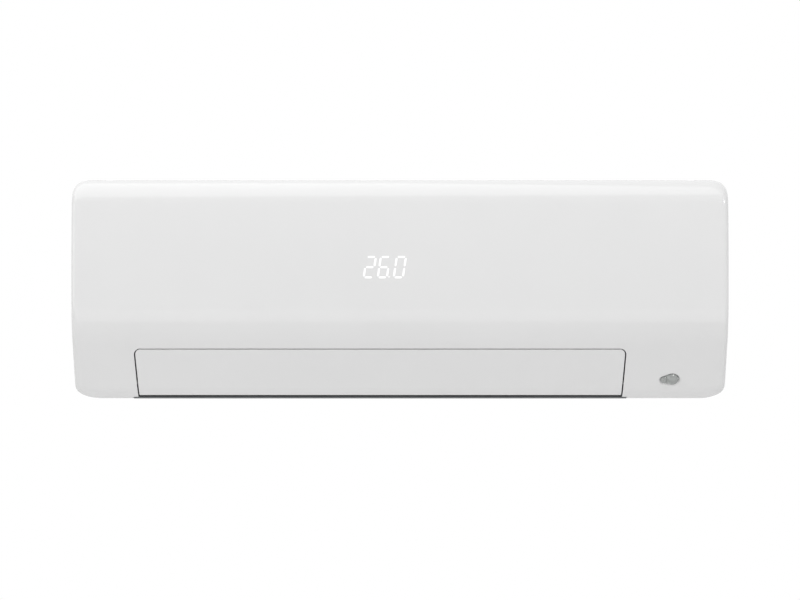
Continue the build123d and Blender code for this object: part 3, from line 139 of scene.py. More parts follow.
bpy.context.scene.world = world

# Matt white paint on board: it takes a soft shadow and mirrors nothing. It fades out towards its
# rim and is clear from below, so that it never hides the unit.
floor_paint = bpy.data.materials.new("matt_white_floor_paint")
floor_paint.use_nodes = True
tree = floor_paint.node_tree
paint = tree.nodes["Principled BSDF"]
paint.inputs["Base Color"].default_value = linear("#EFEFEF")
paint.inputs["Roughness"].default_value = 0.9
below = add_node(tree, "ShaderNodeNewGeometry").outputs["Backfacing"]
place = add_node(tree, "ShaderNodeTexCoord").outputs["Object"]
away = add_node(tree, "ShaderNodeVectorMath", {"operation": "LENGTH"}, {0: place})
fade = {"interpolation_type": "SMOOTHSTEP", "From Min": floor_fades_from, "From Max": floor_gone_at}
fading = add_node(tree, "ShaderNodeMapRange", fade, {0: away.outputs["Value"]})
gone = add_node(tree, "ShaderNodeMath", {"operation": "MAXIMUM"}, {0: below, 1: fading.outputs[0]})
bare = add_node(tree, "ShaderNodeBsdfTransparent")
faded = add_node(tree, "ShaderNodeMixShader",
                 links={0: gone.outputs[0], 1: paint.outputs[0], 2: bare.outputs[0]})
tree.links.new(faded.outputs[0], tree.nodes["Material Output"].inputs["Surface"])

floor_mesh = bmesh.new()
bmesh.ops.create_grid(floor_mesh, x_segments=1, y_segments=1, size=floor_reach)
bmesh.ops.translate(floor_mesh, vec=(0.0, 0.0, floor_height), verts=floor_mesh.verts)
floor_data = bpy.data.meshes.new("studio_floor")
floor_mesh.to_mesh(floor_data)
floor_mesh.free()
floor_data.materials.append(floor_paint)
floor = bpy.data.objects.new("studio_floor", floor_data)
bpy.context.scene.collection.objects.link(floor)

for name, place, size_x, size_y, power in (
    ("soft_box_above", (-0.8, -0.4, 2.5), 3.6, 3.2, 35.0),
    ("soft_box_left", (-2.8, -1.9, 0.4), 2.2, 1.8, 15.0),
    ("soft_box_right", (2.8, -1.9, 0.4), 2.2, 1.8, 2.5),
    ("small_lamp", (1.7, -2.6, 1.9), 0.6, 0.6, 17.0),
    ("low_strip", (0.0, -1.7, -0.72), 3.0, 0.62, 4.0),
):
    lamp_data = bpy.data.lights.new(name, "AREA")
    lamp_data.shape = "RECTANGLE"
    lamp_data.size = size_x
    lamp_data.size_y = size_y
    lamp_data.energy = power
    lamp = bpy.data.objects.new(name, lamp_data)
    lamp.location = place
    lamp.rotation_mode = "QUATERNION"
    lamp.rotation_quaternion = (Vector(place) - lamp_aim).to_track_quat("Z", "Y")
    bpy.context.scene.collection.objects.link(lamp)

# ------------------------------------------------------------------ front panel
# One injection-moulded ABS shell, polished to a high gloss, over the whole front and down both
# sides of the air flap. It hangs on two arms at the top and swings up for the filters.

# Side profile as depth and height in millimetres, from the top of the back round to its foot.
side_profile = [
    (2.0, 145.0), (196.0, 145.0), (211.65, 48.0), (207.0, -50.0), (127.0, -145.0), (2.0, -145.0)
]
round_radii = [38.0, 500.0, 90.0, 45.0]
round_steps = [14, 18, 14, 12]
least_round = 3.0
half_width = 432.5
edge_round = 6.0
corner_top = 19.0
corner_bottom_run = 34.0
corner_bottom_rise = 16.0
corner_steps = 14
panel_band = 26.0
top_start = 150.0
top_part_from = 80.0
shell_wall = 2.5
panel_edge = 0.35
flap_left, flap_right, flap_top, flap_bottom = -350.5, 298.0, -79.5, -140.6
flap_slant = 3.2
flap_corner = 6.6
flap_seam = 1.7
flap_cut_bottom = -205.0
outline_room = 14.0
plain_columns = [-120.0, 60.0, 180.0]
eye_columns = [340.0, 377.0]
outlet_left, outlet_right = -352.5, 299.5
lip_room = 4.1
lip_start, lip_end = 60.0, 120.0
arm_x = 385.0
arm_half_width = 3.5
arm_outline = [
    (145.5, 131.5), (186.0, 131.5), (187.5, 133.8), (180.0, 139.2),
    (172.0, 142.2), (168.0, 139.0), (145.5, 140.0),
]
arm_edge = 0.3
hinge_place = (150.0, 136.0)
hinge_pin_radius = 2.5
hinge_pin_reach = 9.5
eyes = [((2.8, 0.2), 8.8), ((-7.4, -1.0), 5.4)]
eye_steps = 40
eye_clearance = 0.1
eye_chamfer = 2.0
eye_sink = 1.5
chin_out, chin_down = 0.7649, 0.6441
eye_facing = Vector((0.0, -chin_out, -chin_down))
eye_tilt = Matrix.Rotation(math.atan2(chin_out, -chin_down), 4, "X")
eye_place = Matrix.Translation((358.5, -148.56, -119.4)) @ eye_tilt
in_plane = 1e-7
end_merge = 0.05
Vert = bmesh.types.BMVert
Edge = bmesh.types.BMEdge


def spot(x, depth, z):
    """Place in the room of a point given along the unit, out from the wall and up."""
    return Vector((x * mm, -depth * mm, z * mm))


def only(kind, parts):
    """Parts of one kind, out of what an operator returns."""
    return [part for part in parts if isinstance(part, kind)]


def with_rims(faces):
    """Faces together with their edges and corners, each once and always in the same order."""
    return list(dict.fromkeys(p for face in faces for p in (face, *face.edges, *face.verts)))


def drawn_in(run, rise, s):
    """How far a rounded corner draws in at a distance s from the end of the unit."""
    if s >= run:
        return 0.0
    return rise * (1 - math.sqrt(1 - ((run - s) / run) ** 2))


def inset_sides(insets):
    """Lines of the side profile, each moved in by its own amount."""
    lines = []
    for start, end, inset in zip(side_profile, side_profile[1:] + side_profile[:1], insets):
        length = math.hypot(end[0] - start[0], end[1] - start[1])
        run, rise = (end[0] - start[0]) / length, (end[1] - start[1]) / length
        lines.append((start[0] + rise * inset, start[1] - run * inset, run, rise))
    return lines


def crossing(a, b):
    """Where two lines of the side section cross."""
    along = ((b[0] - a[0]) * b[3] - (b[1] - a[1]) * b[2]) / (a[2] * b[3] - a[3] * b[2])
    return (a[0] + a[2] * along, a[1] + a[3] * along)


def draw_path(mesh, x, corners, radii, steps):
    """Open side section at x: its runs are extruded, and each round is a vertex spun in place."""
    tip = mesh.verts.new(spot(x, *corners[0]))
    turns = zip(corners, corners[1:], corners[2:], radii, steps)
    for before, corner, after, radius, count in turns:
        into = Vector((corner[0] - before[0], corner[1] - before[1])).normalized()
        out = Vector((after[0] - corner[0], after[1] - corner[1])).normalized()
        turn = into.angle_signed(out)
        reach = radius * math.tan(abs(turn) / 2)
        start = Vector(corner) - into * reach
        side = 1.0 if turn > 0 else -1.0
        centre = start + Vector((into[1], -into[0])) * radius * side
        step = bmesh.ops.extrude_vert_indiv(mesh, verts=[tip])["verts"][0]
        step.co = spot(x, *start)
        swept = bmesh.ops.spin(mesh, geom=[step], cent=spot(x, *centre), axis=(1.0, 0.0, 0.0),
                               angle=turn, steps=count)
        tip = only(Vert, swept["geom_last"])[0]
    end = bmesh.ops.extrude_vert_indiv(mesh, verts=[tip])["verts"][0]
    end.co = spot(x, *corners[-1])


def stations(extra):
    """Places along the unit with their distance from the nearer end, closest in the corners."""
    quarter = math.pi / 2 / corner_steps
    near = [corner_bottom_run * (1 - math.cos(quarter * k)) for k in range(corner_steps + 1)]
    places = [(-half_width + s, s) for s in near]
    places += [(x, corner_bottom_run) for x in sorted(extra)]
    return places + [(half_width - s, s) for s in reversed(near)]


def front_section(s):
    """Corners and radii of a front moulding's section, from the top round to the underside."""
    front = drawn_in(edge_round, edge_round, s)
    up = drawn_in(corner_top, corner_top, s)
    down = drawn_in(corner_bottom_run, corner_bottom_rise, s)
    sides = inset_sides([up, front, front, front, down, 0.0])
    rear = inset_sides([panel_band] * len(side_profile))[3]
    corners = [(top_start, sides[0][1])]
    corners += [crossing(sides[i], sides[i + 1]) for i in range(4)]
    corners.append(crossing(sides[4], rear))
    radii = [
        max(round_radii[0] - max(front, up), least_round),
        round_radii[1] - front,
        round_radii[2] - front,
        max(round_radii[3] - max(front, down), least_round),
    ]
    return corners, radii


def edges_at(mesh, x):
    """Edges that lie in the plane at x."""
    return [e for e in mesh.edges if all(abs(v.co.x - x * mm) < in_plane for v in e.verts)]


def lofted_front(columns):
    """Skin of a front moulding: a section at each station, bridged to the next, cut at the top."""
    mesh = bmesh.new()
    places = stations(columns)
    for x, s in places:
        draw_path(mesh, x, *front_section(s), round_steps)
    for (x0, _), (x1, _) in zip(places, places[1:]):
        bmesh.ops.bridge_loops(mesh, edges=edges_at(mesh, x0) + edges_at(mesh, x1))
    depth, z, run, rise = inset_sides([panel_band] * len(side_profile))[1]
    upper = [f for f in mesh.faces if all(v.co.z > top_part_from * mm for v in f.verts)]
    bmesh.ops.bisect_plane(mesh, geom=with_rims(upper), dist=in_plane, plane_co=spot(0.0, depth, z),
                           plane_no=(0.0, rise, run), clear_inner=True)
    return mesh


def close_end(mesh, x, corners, radii, steps):
    """Flat end of a moulding between its rim at x and a second path in the same plane."""
    draw_path(mesh, x, corners, radii, steps)
    in_end = [v for v in mesh.verts if abs(v.co.x - x * mm) < in_plane]
    bmesh.ops.remove_doubles(mesh, verts=in_end, dist=end_merge * mm)
    open_edges = [e for e in edges_at(mesh, x) if e.is_boundary or e.is_wire]
    bmesh.ops.contextual_create(mesh, geom=open_edges)


def rounded(corners, radii, steps=6):
    """Outline in the front view with its corners rounded, as points in order."""
    points = []
    for i, corner in enumerate(corners):
        before, after = Vector(corners[i - 1]), Vector(corners[(i + 1) % len(corners)])
        place = Vector(corner)
        if not radii[i]:
            points.append(place)
            continue
        into, out = (before - place).normalized(), (after - place).normalized()
        reach = radii[i] / math.tan(into.angle(out) / 2)
        start, end = place + into * reach, place + out * reach
        centre = place + (into + out).normalized() * math.hypot(reach, radii[i])
        sweep = (start - centre).angle_signed(end - centre)
        for k in range(steps + 1):
            turned = (start - centre).copy()
            turned.rotate(Matrix.Rotation(-sweep * k / steps, 2))
            points.append(centre + turned)
    return points


def cut_out(mesh, outline, along, keep=False):
    """Cuts a skin along a convex outline swept one way, and drops its inside or its outside."""
    room = outline_room * mm
    left, right = min(p.x for p in outline), max(p.x for p in outline)
    middle = sum(outline, Vector()) / len(outline)
    planes = []
    for a, b in zip(outline, outline[1:] + outline[:1]):
        normal = (b - a).cross(along).normalized()
        planes.append((a, normal if (a - middle).dot(normal) > 0 else -normal))
        x0, x1 = max(min(a.x, b.x) - room, left), min(max(a.x, b.x) + room, right)
        z0, z1 = min(a.z, b.z) - room, max(a.z, b.z) + room
        near = []
        for face in mesh.faces:
            xs = [v.co.x for v in face.verts]
            zs = [v.co.z for v in face.verts]
            if max(xs) > x0 and min(xs) < x1 and max(zs) > z0 and min(zs) < z1:
                near.append(face)
        bmesh.ops.bisect_plane(mesh, geom=with_rims(near), dist=in_plane, plane_co=a,
                               plane_no=normal)
    inside = set()
    for face in mesh.faces:
        centre = face.calc_center_median()
        if all((centre - point).dot(normal) < 0 for point, normal in planes):
            inside.add(face)
    drop = [f for f in mesh.faces if (f in inside) != keep]
    bmesh.ops.delete(mesh, geom=drop, context="FACES")


def flap_outline(grow, bottom):
    """Outline of the air flap in the front view, with slanted ends and rounded upper corners."""
    slope = flap_slant / (flap_top - flap_bottom)
    top = flap_top + grow
    run = slope * (top - bottom)
    corners = [
        (flap_left - grow, top), (flap_right + grow, top),
        (flap_right + grow - run, bottom), (flap_left - grow + run, bottom),
    ]
    corner = flap_corner + grow
    return [spot(x, 0.0, z) for x, z in rounded(corners, [corner, corner, 0, 0])]


def eye_outline(grow):
    """Egg outline of the receiver window on the panel's chin, as places in the room."""
    rounds = [(Vector(place), radius + grow) for place, radius in eyes]
    points = []
    for k in range(eye_steps):
        angle = math.tau * k / eye_steps
        facing = Vector((math.cos(angle), math.sin(angle)))
        place, radius = max(rounds, key=lambda eye: eye[0].dot(facing) + eye[1])
        points.append((eye_place @ (place + facing * radius).to_3d()) * mm)
    return points


def closed_outline(mesh, places):
    """Closed line of edges through places, in their order."""
    ring = [mesh.verts.new(place) for place in places]
    pairs = zip(ring, ring[1:] + ring[:1])
    made = [bmesh.ops.contextual_create(mesh, geom=list(pair))["edges"] for pair in pairs]
    return [edge for edges in made for edge in edges]


def slab(mesh, places, along):
    """Solid with a flat outline, swept in one direction."""
    side = bmesh.ops.contextual_create(mesh, geom=closed_outline(mesh, places))["faces"]
    moved = bmesh.ops.extrude_face_region(mesh, geom=side)["geom"]
    bmesh.ops.translate(mesh, vec=along, verts=only(Vert, moved))


def prism(mesh, points, x0, x1):
    """Solid with a side-section outline, from x0 to x1 along the unit."""
    slab(mesh, [spot(x0, *point) for point in points], spot(x1 - x0, 0.0, 0.0))


def rod(mesh, x0, x1, depth, z, radius, sides=32):
    """Round bar along the unit."""
    turned = Matrix.Rotation(math.radians(90), 4, "Y")
    place = Matrix.Translation(spot((x0 + x1) / 2, depth, z)) @ turned
    bmesh.ops.create_cone(mesh, cap_ends=True, segments=sides, radius1=radius * mm,
                          radius2=radius * mm, depth=abs(x1 - x0) * mm, matrix=place)


def shade(mesh, name, angle=32):
    """Makes the object of a finished bmesh, smooth up to an angle between its faces."""
    data = bpy.data.meshes.new(name)
    mesh.to_mesh(data)
    mesh.free()
    data.polygons.foreach_set("use_smooth", [True] * len(data.polygons))
    data.set_sharp_from_angle(angle=math.radians(angle))
    piece = bpy.data.objects.new(name, data)
    bpy.context.scene.collection.objects.link(piece)
    return piece


def give_wall(piece):
    """Turns a moulded skin into a shell, with its wall behind the skin."""
    wall = piece.modifiers.new("wall", "SOLIDIFY")
    wall.thickness = shell_wall * mm
    wall.offset = -1.0


def soften(piece, width, segments=2, angle=32):
    """Small moulded or broken edge on every corner of a piece."""
    rounding = piece.modifiers.new("edges", "BEVEL")
    rounding.width = width * mm
    rounding.segments = segments
    rounding.limit_method = "ANGLE"
    rounding.angle_limit = math.radians(angle)
    rounding.harden_normals = True


def moulding(name, pale, deep, patch, roughness, grain, relief, **sockets):
    """Coloured surface: two close tones in patches, and a grain that moves roughness and relief."""
    finish = bpy.data.materials.new(name)
    finish.use_nodes = True
    tree = finish.node_tree
    shader = tree.nodes["Principled BSDF"]
    for key, value in sockets.items():
        shader.inputs[key.replace("_", " ")].default_value = value
    place = add_node(tree, "ShaderNodeTexCoord").outputs["Object"]
    tone = add_node(tree, "ShaderNodeTexNoise", {"Scale": 1000 / patch, "Detail": 3.0},
                    {"Vector": place})
    colours = add_node(tree, "ShaderNodeMix",
                       {"data_type": "RGBA", 6: linear(deep), 7: linear(pale)},
                       {0: tone.outputs[0]})
    speck = add_node(tree, "ShaderNodeTexNoise", {"Scale": 1000 / grain, "Detail": 2.0},
                     {"Vector": place})
    spread = {"To Min": max(roughness - 0.05, 0.02), "To Max": roughness + 0.05}
    dull = add_node(tree, "ShaderNodeMapRange", spread, {0: speck.outputs[0]})
    lifted = add_node(tree, "ShaderNodeBump", {"Strength": 0.6, "Distance": relief * mm},
                      {"Height": speck.outputs[0]})
    tree.links.new(colours.outputs[2], shader.inputs["Base Color"])
    tree.links.new(dull.outputs[0], shader.inputs["Roughness"])
    tree.links.new(lifted.outputs[0], shader.inputs["Normal"])
    return finish


# High-gloss ABS, moulded against a polished steel cavity: the eye gets a clear, slightly wavy
# reflection over a neutral white. The sink marks wave it over 60 mm, as on the real shell.
gloss_abs = moulding("polished_white_abs", "#E9E9E9", "#E6E6E6", 90.0, 0.14, 60.0, 0.03,
                     Coat_Weight=0.25, Coat_Roughness=0.05)

panel_columns = [flap_left - outline_room, flap_left + outline_room]
panel_columns += [flap_right - outline_room, flap_right + outline_room]
panel_mesh = lofted_front(panel_columns + plain_columns + eye_columns)
end_radii = [radius - panel_band for radius in round_radii[1:3]]
band = inset_sides([corner_top, panel_band, panel_band, panel_band, corner_bottom_rise, 0.0])
end_corners = [crossing(band[i], band[i + 1]) for i in range(4)]
for x in (-half_width, half_width):
    close_end(panel_mesh, x, end_corners, end_radii, round_steps[1:3])
cut_out(panel_mesh, flap_outline(flap_seam, flap_cut_bottom), Vector((0.0, 1.0, 0.0)))
cut_out(panel_mesh, eye_outline(eye_chamfer), eye_facing)
lip_left, lip_right = outlet_left - lip_room, outlet_right + lip_room
lip_cut = [(lip_left, lip_start), (lip_right, lip_start), (lip_right, lip_end), (lip_left, lip_end)]
underside = side_profile[-1][1]
cut_out(panel_mesh, [spot(x, depth, underside) for x, depth in lip_cut], Vector((0.0, 0.0, 1.0)))
bmesh.ops.recalc_face_normals(panel_mesh, faces=panel_mesh.faces)
panel_tree = BVHTree.FromBMesh(panel_mesh)
panel = shade(panel_mesh, "gloss_front_panel")
give_wall(panel)
soften(panel, panel_edge)

panel_arms = bmesh.new()
for x in (-arm_x, arm_x):
    prism(panel_arms, arm_outline, x - arm_half_width, x + arm_half_width)
    rod(panel_arms, x - hinge_pin_reach, x + hinge_pin_reach, *hinge_place, hinge_pin_radius)
bmesh.ops.recalc_face_normals(panel_arms, faces=panel_arms.faces)
arms = shade(panel_arms, "panel_hinge_arms")
soften(arms, arm_edge)

chamfer_mesh = bmesh.new()
chamfer_steps = [
    (eye_chamfer, 0.0), (eye_clearance, eye_sink), (eye_clearance, shell_wall),
    (eye_chamfer, shell_wall),
]
rings = [closed_outline(chamfer_mesh, [p - eye_facing * sink * mm for p in eye_outline(grow)])
         for grow, sink in chamfer_steps]
for outer, inner in zip(rings, rings[1:]):
    bmesh.ops.bridge_loops(chamfer_mesh, edges=outer + inner)
bmesh.ops.recalc_face_normals(chamfer_mesh, faces=chamfer_mesh.faces)
chamfer = shade(chamfer_mesh, "window_chamfer", angle=25)
for piece in (panel, arms, chamfer):
    piece.data.materials.append(gloss_abs)
    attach(piece, "panel")
    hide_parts("front_panel")

# ------------------------------------------------------------------ air flap
# One glossy ABS blade cut from the same skin as the panel, with two ribs along its back and four
# tabs that carry its pins. A stepper motor at the right end turns it.
flap_columns = [-200.0, -80.0, 40.0, 160.0]
flap_edge = 1.1
flap_pivot = (131.0, -123.0)
flap_pins = [(-357.0, -341.0), (-29.9, -23.1), (292.5, 303.5)]
flap_pin_radius = 2.6
flap_pin_sides = 24
flap_hub_radius = 5.2
flap_tab_starts = [-346.0, -33.6, -23.4, 289.5]
flap_tab_width = 4.0
flap_tab = [
    (127.0, -119.0), (128.0, -128.0), (131.0, -134.0), (148.0, -118.5), (156.0, -109.4),
    (151.0, -111.0),
]
flap_ribs = [(-342.0, -33.6), (-19.4, 289.5)]
flap_rib_heights = [-98.0, -118.0]
flap_rib_half = 0.9
flap_rib_from, flap_rib_to = 2.0, 5.4


def chin_depth(z, inset):
    """Depth of the slanted chin at a height, moved in from the surface."""
    depth, height = side_profile[3]
    return depth + ((z - height) * chin_down - inset) / chin_out


flap_mesh = lofted_front([flap_left + outline_room, flap_right - outline_room] + flap_columns)
cut_out(flap_mesh, flap_outline(0.0, flap_bottom), Vector((0.0, 1.0, 0.0)), keep=True)
under = [f for f in flap_mesh.faces if f.calc_center_median().z < flap_bottom * mm]
bmesh.ops.delete(flap_mesh, geom=under, context="FACES")
bmesh.ops.recalc_face_normals(flap_mesh, faces=flap_mesh.faces)
if sum(f.normal.y for f in flap_mesh.faces) > 0:
    bmesh.ops.reverse_faces(flap_mesh, faces=flap_mesh.faces)
flap = shade(flap_mesh, "gloss_air_flap")
give_wall(flap)
soften(flap, flap_edge, segments=3)

flap_back = bmesh.new()
for start in flap_tab_starts:
    prism(flap_back, flap_tab, start, start + flap_tab_width)
    rod(flap_back, start, start + flap_tab_width, *flap_pivot, flap_hub_radius)
for x0, x1 in flap_pins:
    rod(flap_back, x0, x1, *flap_pivot, flap_pin_radius, flap_pin_sides)
for x0, x1 in flap_ribs:
    for middle in flap_rib_heights:
        low, high = middle - flap_rib_half, middle + flap_rib_half
        rib = [(high, flap_rib_from), (low, flap_rib_from), (low, flap_rib_to), (high, flap_rib_to)]
        prism(flap_back, [(chin_depth(z, inset), z) for z, inset in rib], x0, x1)
bmesh.ops.recalc_face_normals(flap_back, faces=flap_back.faces)
flap_ribbing = shade(flap_back, "air_flap_ribs_and_pins")
for piece in (flap, flap_ribbing):
    piece.data.materials.append(gloss_abs)
    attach(piece, "louvre")
    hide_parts("louvre")

# ------------------------------------------------------------------ receiver window
# One clear acrylic moulding pressed into the chin from behind: an egg-shaped plate with a large and
# a small domed eye, and a flange that stops it against the back of the panel.
window_wall = 2.7
flange_back = 3.9
flange_reach = 2.0
dome_rise = 0.7
dome_root = 0.4
dome_columns, dome_rows = 40, 48
haze_size = 6.0

# Polished cast acrylic over a grey receiver: a hard wet shine on a cool, slightly hazy grey, so
# that the domes show as dark pebbles with a small bright spark.
clear_acrylic = bpy.data.materials.new("polished_clear_acrylic")
clear_acrylic.use_nodes = True
tree = clear_acrylic.node_tree
shader = tree.nodes["Principled BSDF"]
shader.inputs["Roughness"].default_value = 0.03
shader.inputs["IOR"].default_value = 1.49
shader.inputs["Coat Weight"].default_value = 1.0
shader.inputs["Transmission Weight"].default_value = 0.4
place = add_node(tree, "ShaderNodeTexCoord").outputs["Object"]
haze = add_node(tree, "ShaderNodeTexNoise", {"Scale": 1000 / haze_size}, {"Vector": place})
tint = add_node(tree, "ShaderNodeMix",
                {"data_type": "RGBA", 6: linear("#B3B7B5"), 7: linear("#C9CCCA")},
                {0: haze.outputs[0]})
tree.links.new(tint.outputs[2], shader.inputs["Base Color"])

window_mesh = bmesh.new()
for grow, start, end in ((0.0, 0.0, window_wall), (flange_reach, window_wall, flange_back)):
    outline = [p - eye_facing * start * mm for p in eye_outline(grow)]
    slab(window_mesh, outline, eye_facing * (start - end) * mm)
for (x, y), radius in eyes:
    rise = dome_rise * radius
    ball = (radius ** 2 + rise ** 2) / (2 * rise)
    made = bmesh.ops.create_uvsphere(window_mesh, u_segments=dome_columns, v_segments=dome_rows,
                                     radius=ball * mm)["verts"]
    whole = dict.fromkeys(f for v in made for f in v.link_faces)
    root = (0.0, 0.0, (ball - rise - dome_root) * mm)
    cut = bmesh.ops.bisect_plane(window_mesh, geom=with_rims(whole), dist=in_plane, plane_co=root,
                                 plane_no=(0.0, 0.0, 1.0), clear_inner=True)
    rim = only(Edge, cut["geom_cut"])
    bmesh.ops.contextual_create(window_mesh, geom=rim)
    dome = {v for e in rim for v in e.verts}
    queue = list(dome)
    while queue:
        fresh = {v for edge in queue.pop().link_edges for v in edge.verts} - dome
        dome |= fresh
        queue += fresh
    turned = eye_place.to_3x3()
    shift = turned @ Vector((x, y, rise - ball)) + eye_place.translation
    bmesh.ops.transform(window_mesh, matrix=Matrix.Translation(shift * mm) @ turned.to_4x4(),
                        verts=list(dome))
bmesh.ops.recalc_face_normals(window_mesh, faces=window_mesh.faces)
window = shade(window_mesh, "receiver_window")
window.data.materials.append(clear_acrylic)
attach(window, "panel")
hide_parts("sensor_lens")

# ------------------------------------------------------------------ lit digits
# The lit strokes of the hidden display, as they glow through the white shell: two digits, a point
# and a decimal, leaning to the right, each stroke 2.6 mm wide.
digit_places = [-39.7, -21.2, -0.2]
digit_shapes = ["abged", "afgedc", "abcdef"]
digit_point = [(-12.4, 18.6), (-12.6, 15.0)]
digit_middle = 29.6
digit_half_height = 13.4
digit_half_width = 6.0
digit_lean = 0.15
digit_lift = 0.03
aim_depth = 300.0
stroke_half = 1.3
stroke_gap = 0.9
stroke_round = 0.5
glow_patch = 7.0
strokes = {
    "a": ((-1, 1), (1, 1)), "b": ((1, 1), (1, 0)), "c": ((1, 0), (1, -1)), "d": ((-1, -1), (1, -1)),
    "e": ((-1, 0), (-1, -1)), "f": ((-1, 1), (-1, 0)), "g": ((-1, 0), (1, 0)),
}

# Light through 2.5 mm of white ABS: a soft white, only a little brighter than the lit shell.
glow = bpy.data.materials.new("light_through_white_abs")
glow.use_nodes = True
tree = glow.node_tree
shader = tree.nodes["Principled BSDF"]
shader.inputs["Roughness"].default_value = 0.2
shader.inputs["Emission Strength"].default_value = 0.22
place = add_node(tree, "ShaderNodeTexCoord").outputs["Object"]
uneven = add_node(tree, "ShaderNodeTexNoise", {"Scale": 1000 / glow_patch}, {"Vector": place})
white = add_node(tree, "ShaderNodeMix",
                 {"data_type": "RGBA", 6: linear("#F4F4F4"), 7: linear("#FFFFFF")},
                 {0: uneven.outputs[0]})
tree.links.new(white.outputs[2], shader.inputs["Base Color"])
tree.links.new(white.outputs[2], shader.inputs["Emission Color"])

digits = bmesh.new()
bars = [[Vector((left + u * digit_half_width, digit_middle + w * digit_half_height))
         for u, w in strokes[key]]
        for left, shape in zip(digit_places, digit_shapes) for key in shape]
bars.append([Vector(end) for end in digit_point])
for start, end in bars:
    along = (end - start).normalized()
    across = Vector((-along.y, along.x)) * stroke_half
    near, far = start + along * stroke_gap, end - along * stroke_gap
    shoulder = along * stroke_half
    tips = [near, near + shoulder + across, far - shoulder + across,
            far, far - shoulder - across, near + shoulder - across]
    ring = []
    for p in rounded([tuple(p) for p in tips], [stroke_round] * 6, 2):
        aim = spot(p.x + (p.y - digit_middle) * digit_lean, aim_depth, p.y)
        hit = panel_tree.ray_cast(aim, Vector((0.0, 1.0, 0.0)))[0]
        ring.append(digits.verts.new(hit - Vector((0.0, digit_lift * mm, 0.0))))
    bmesh.ops.contextual_create(digits, geom=ring)
bmesh.ops.recalc_face_normals(digits, faces=digits.faces)
back = [f for f in digits.faces if f.normal.y > 0]
bmesh.ops.reverse_faces(digits, faces=back)
lit = shade(digits, "lit_digits")
lit.data.materials.append(glow)
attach(lit, "panel")

# ------------------------------------------------------------------ front frame and intake grille
# The frame behind the panel, moulded in fine-grained white ABS: the top with its intake grille, the
# rounded ends, the filter windows and guides. Two screws hold it to the chassis.
merge_reach = 0.002
flat_angle = 0.6


def refined(node, finish, width=0.3, segments=2, angle=32):
    """Copy of a CAD piece with its facets joined, small moulded edges and its own finish."""
    mesh = bmesh.new()
    mesh.from_mesh(frame["nodes"][node].data)
    bmesh.ops.remove_doubles(mesh, verts=mesh.verts, dist=merge_reach * mm)
    bmesh.ops.dissolve_limit(mesh, angle_limit=math.radians(flat_angle), verts=mesh.verts,
                             edges=mesh.edges)
    piece = shade(mesh, node + "_finished", angle)
    if width:
        soften(piece, width, segments, angle)
    piece.data.materials.append(finish)
    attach(piece, body_of(frame["nodes"][node])[0])
    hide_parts(node)
    return piece


# White ABS with a fine spark-eroded grain: no clear reflection, a soft even white. Grain of 0.4 mm
# is drawn at 1.5 mm so that it shows.
grained_abs = moulding("grained_white_abs", "#E6E6E6", "#E1E1E0", 120.0, 0.42, 1.5, 0.02)
refined("front_frame", grained_abs, 0.0, angle=25)
refined("auto_button", grained_abs, 0.4)

# ------------------------------------------------------------------ air filters
# Two washable filters behind the panel: a fine black polypropylene mesh moulded into a stiff frame
# with ribs, bars and a pull tab. They slide up behind the frame's guides.
mesh_pitch = 4.0

# Woven polypropylene thread: a dull near-black that turns greyer where the threads catch light. The
# 1 mm threads are drawn 4 mm apart, so that they show.
mesh_cloth = bpy.data.materials.new("woven_filter_mesh")
mesh_cloth.use_nodes = True
tree = mesh_cloth.node_tree
shader = tree.nodes["Principled BSDF"]
shader.inputs["Roughness"].default_value = 0.55
place = add_node(tree, "ShaderNodeTexCoord").outputs["Object"]
waves_per_unit = 20 / math.tau
weave = []
for way in ("X", "Z"):
    threads = add_node(tree, "ShaderNodeTexWave",
                       {"bands_direction": way, "Scale": 1000 / mesh_pitch / waves_per_unit,
                        "Distortion": 0.0}, {"Vector": place})
    weave.append(threads.outputs[1])
crossed = add_node(tree, "ShaderNodeMath", {"operation": "MAXIMUM"}, {0: weave[0], 1: weave[1]})
shades = add_node(tree, "ShaderNodeMix",
                  {"data_type": "RGBA", 6: linear("#101114"), 7: linear("#3C3F45")},
                  {0: crossed.outputs[0]})
raised = add_node(tree, "ShaderNodeBump", {"Strength": 0.7, "Distance": 0.3 * mm},
                  {"Height": crossed.outputs[0]})
tree.links.new(shades.outputs[2], shader.inputs["Base Color"])
tree.links.new(raised.outputs[0], shader.inputs["Normal"])
for side in ("left", "right"):
    refined("filter_" + side, mesh_cloth, 0.2, 1, angle=25)

# ------------------------------------------------------------------ heat exchanger
# Three slabs of thin aluminium fins pressed on copper tubes, between two galvanised end plates. The
# tubes turn back in brazed hairpin bends outside the left plate.
fin_pitch = 3.0
dent_light_spacing = 40.0
crystal_size = 9.0

# Aluminium foil with a hydrophilic coat: a soft grey metal, ruled by painted shade in the gaps
# between the fins, with painted light and shade where they are dented here and there. Fins 1.4 mm
# apart are drawn 3 mm apart, so that they show.
fins = bpy.data.materials.new("coated_aluminium_fins")
fins.use_nodes = True
tree = fins.node_tree
shader = tree.nodes["Principled BSDF"]
shader.inputs["Metallic"].default_value = 0.9
shader.inputs["Roughness"].default_value = 0.38
place = add_node(tree, "ShaderNodeTexCoord").outputs["Object"]
plates = add_node(tree, "ShaderNodeTexWave",
                  {"bands_direction": "X", "Scale": 1000 / fin_pitch / waves_per_unit,
                   "Distortion": 0.0}, {"Vector": place})
# Painted light and shade: lighter and darker patches where the fins are dented.
painted_dent_light = add_node(tree, "ShaderNodeTexNoise", {"Scale": 1000 / dent_light_spacing, "Detail": 3.0},
                {"Vector": place})
lit_fin = add_node(tree, "ShaderNodeMix",
                   {"data_type": "RGBA", 6: linear("#9AA0A2"), 7: linear("#CED3D4")},
                   {0: painted_dent_light.outputs[0]})
# Painted shade: a dark grey where the gaps between the fins fall in shade.
painted_gap_shade = add_node(tree, "ShaderNodeMix", {"data_type": "RGBA", 6: linear("#2B2E30")},
                {0: plates.outputs[1], 7: lit_fin.outputs[2]})
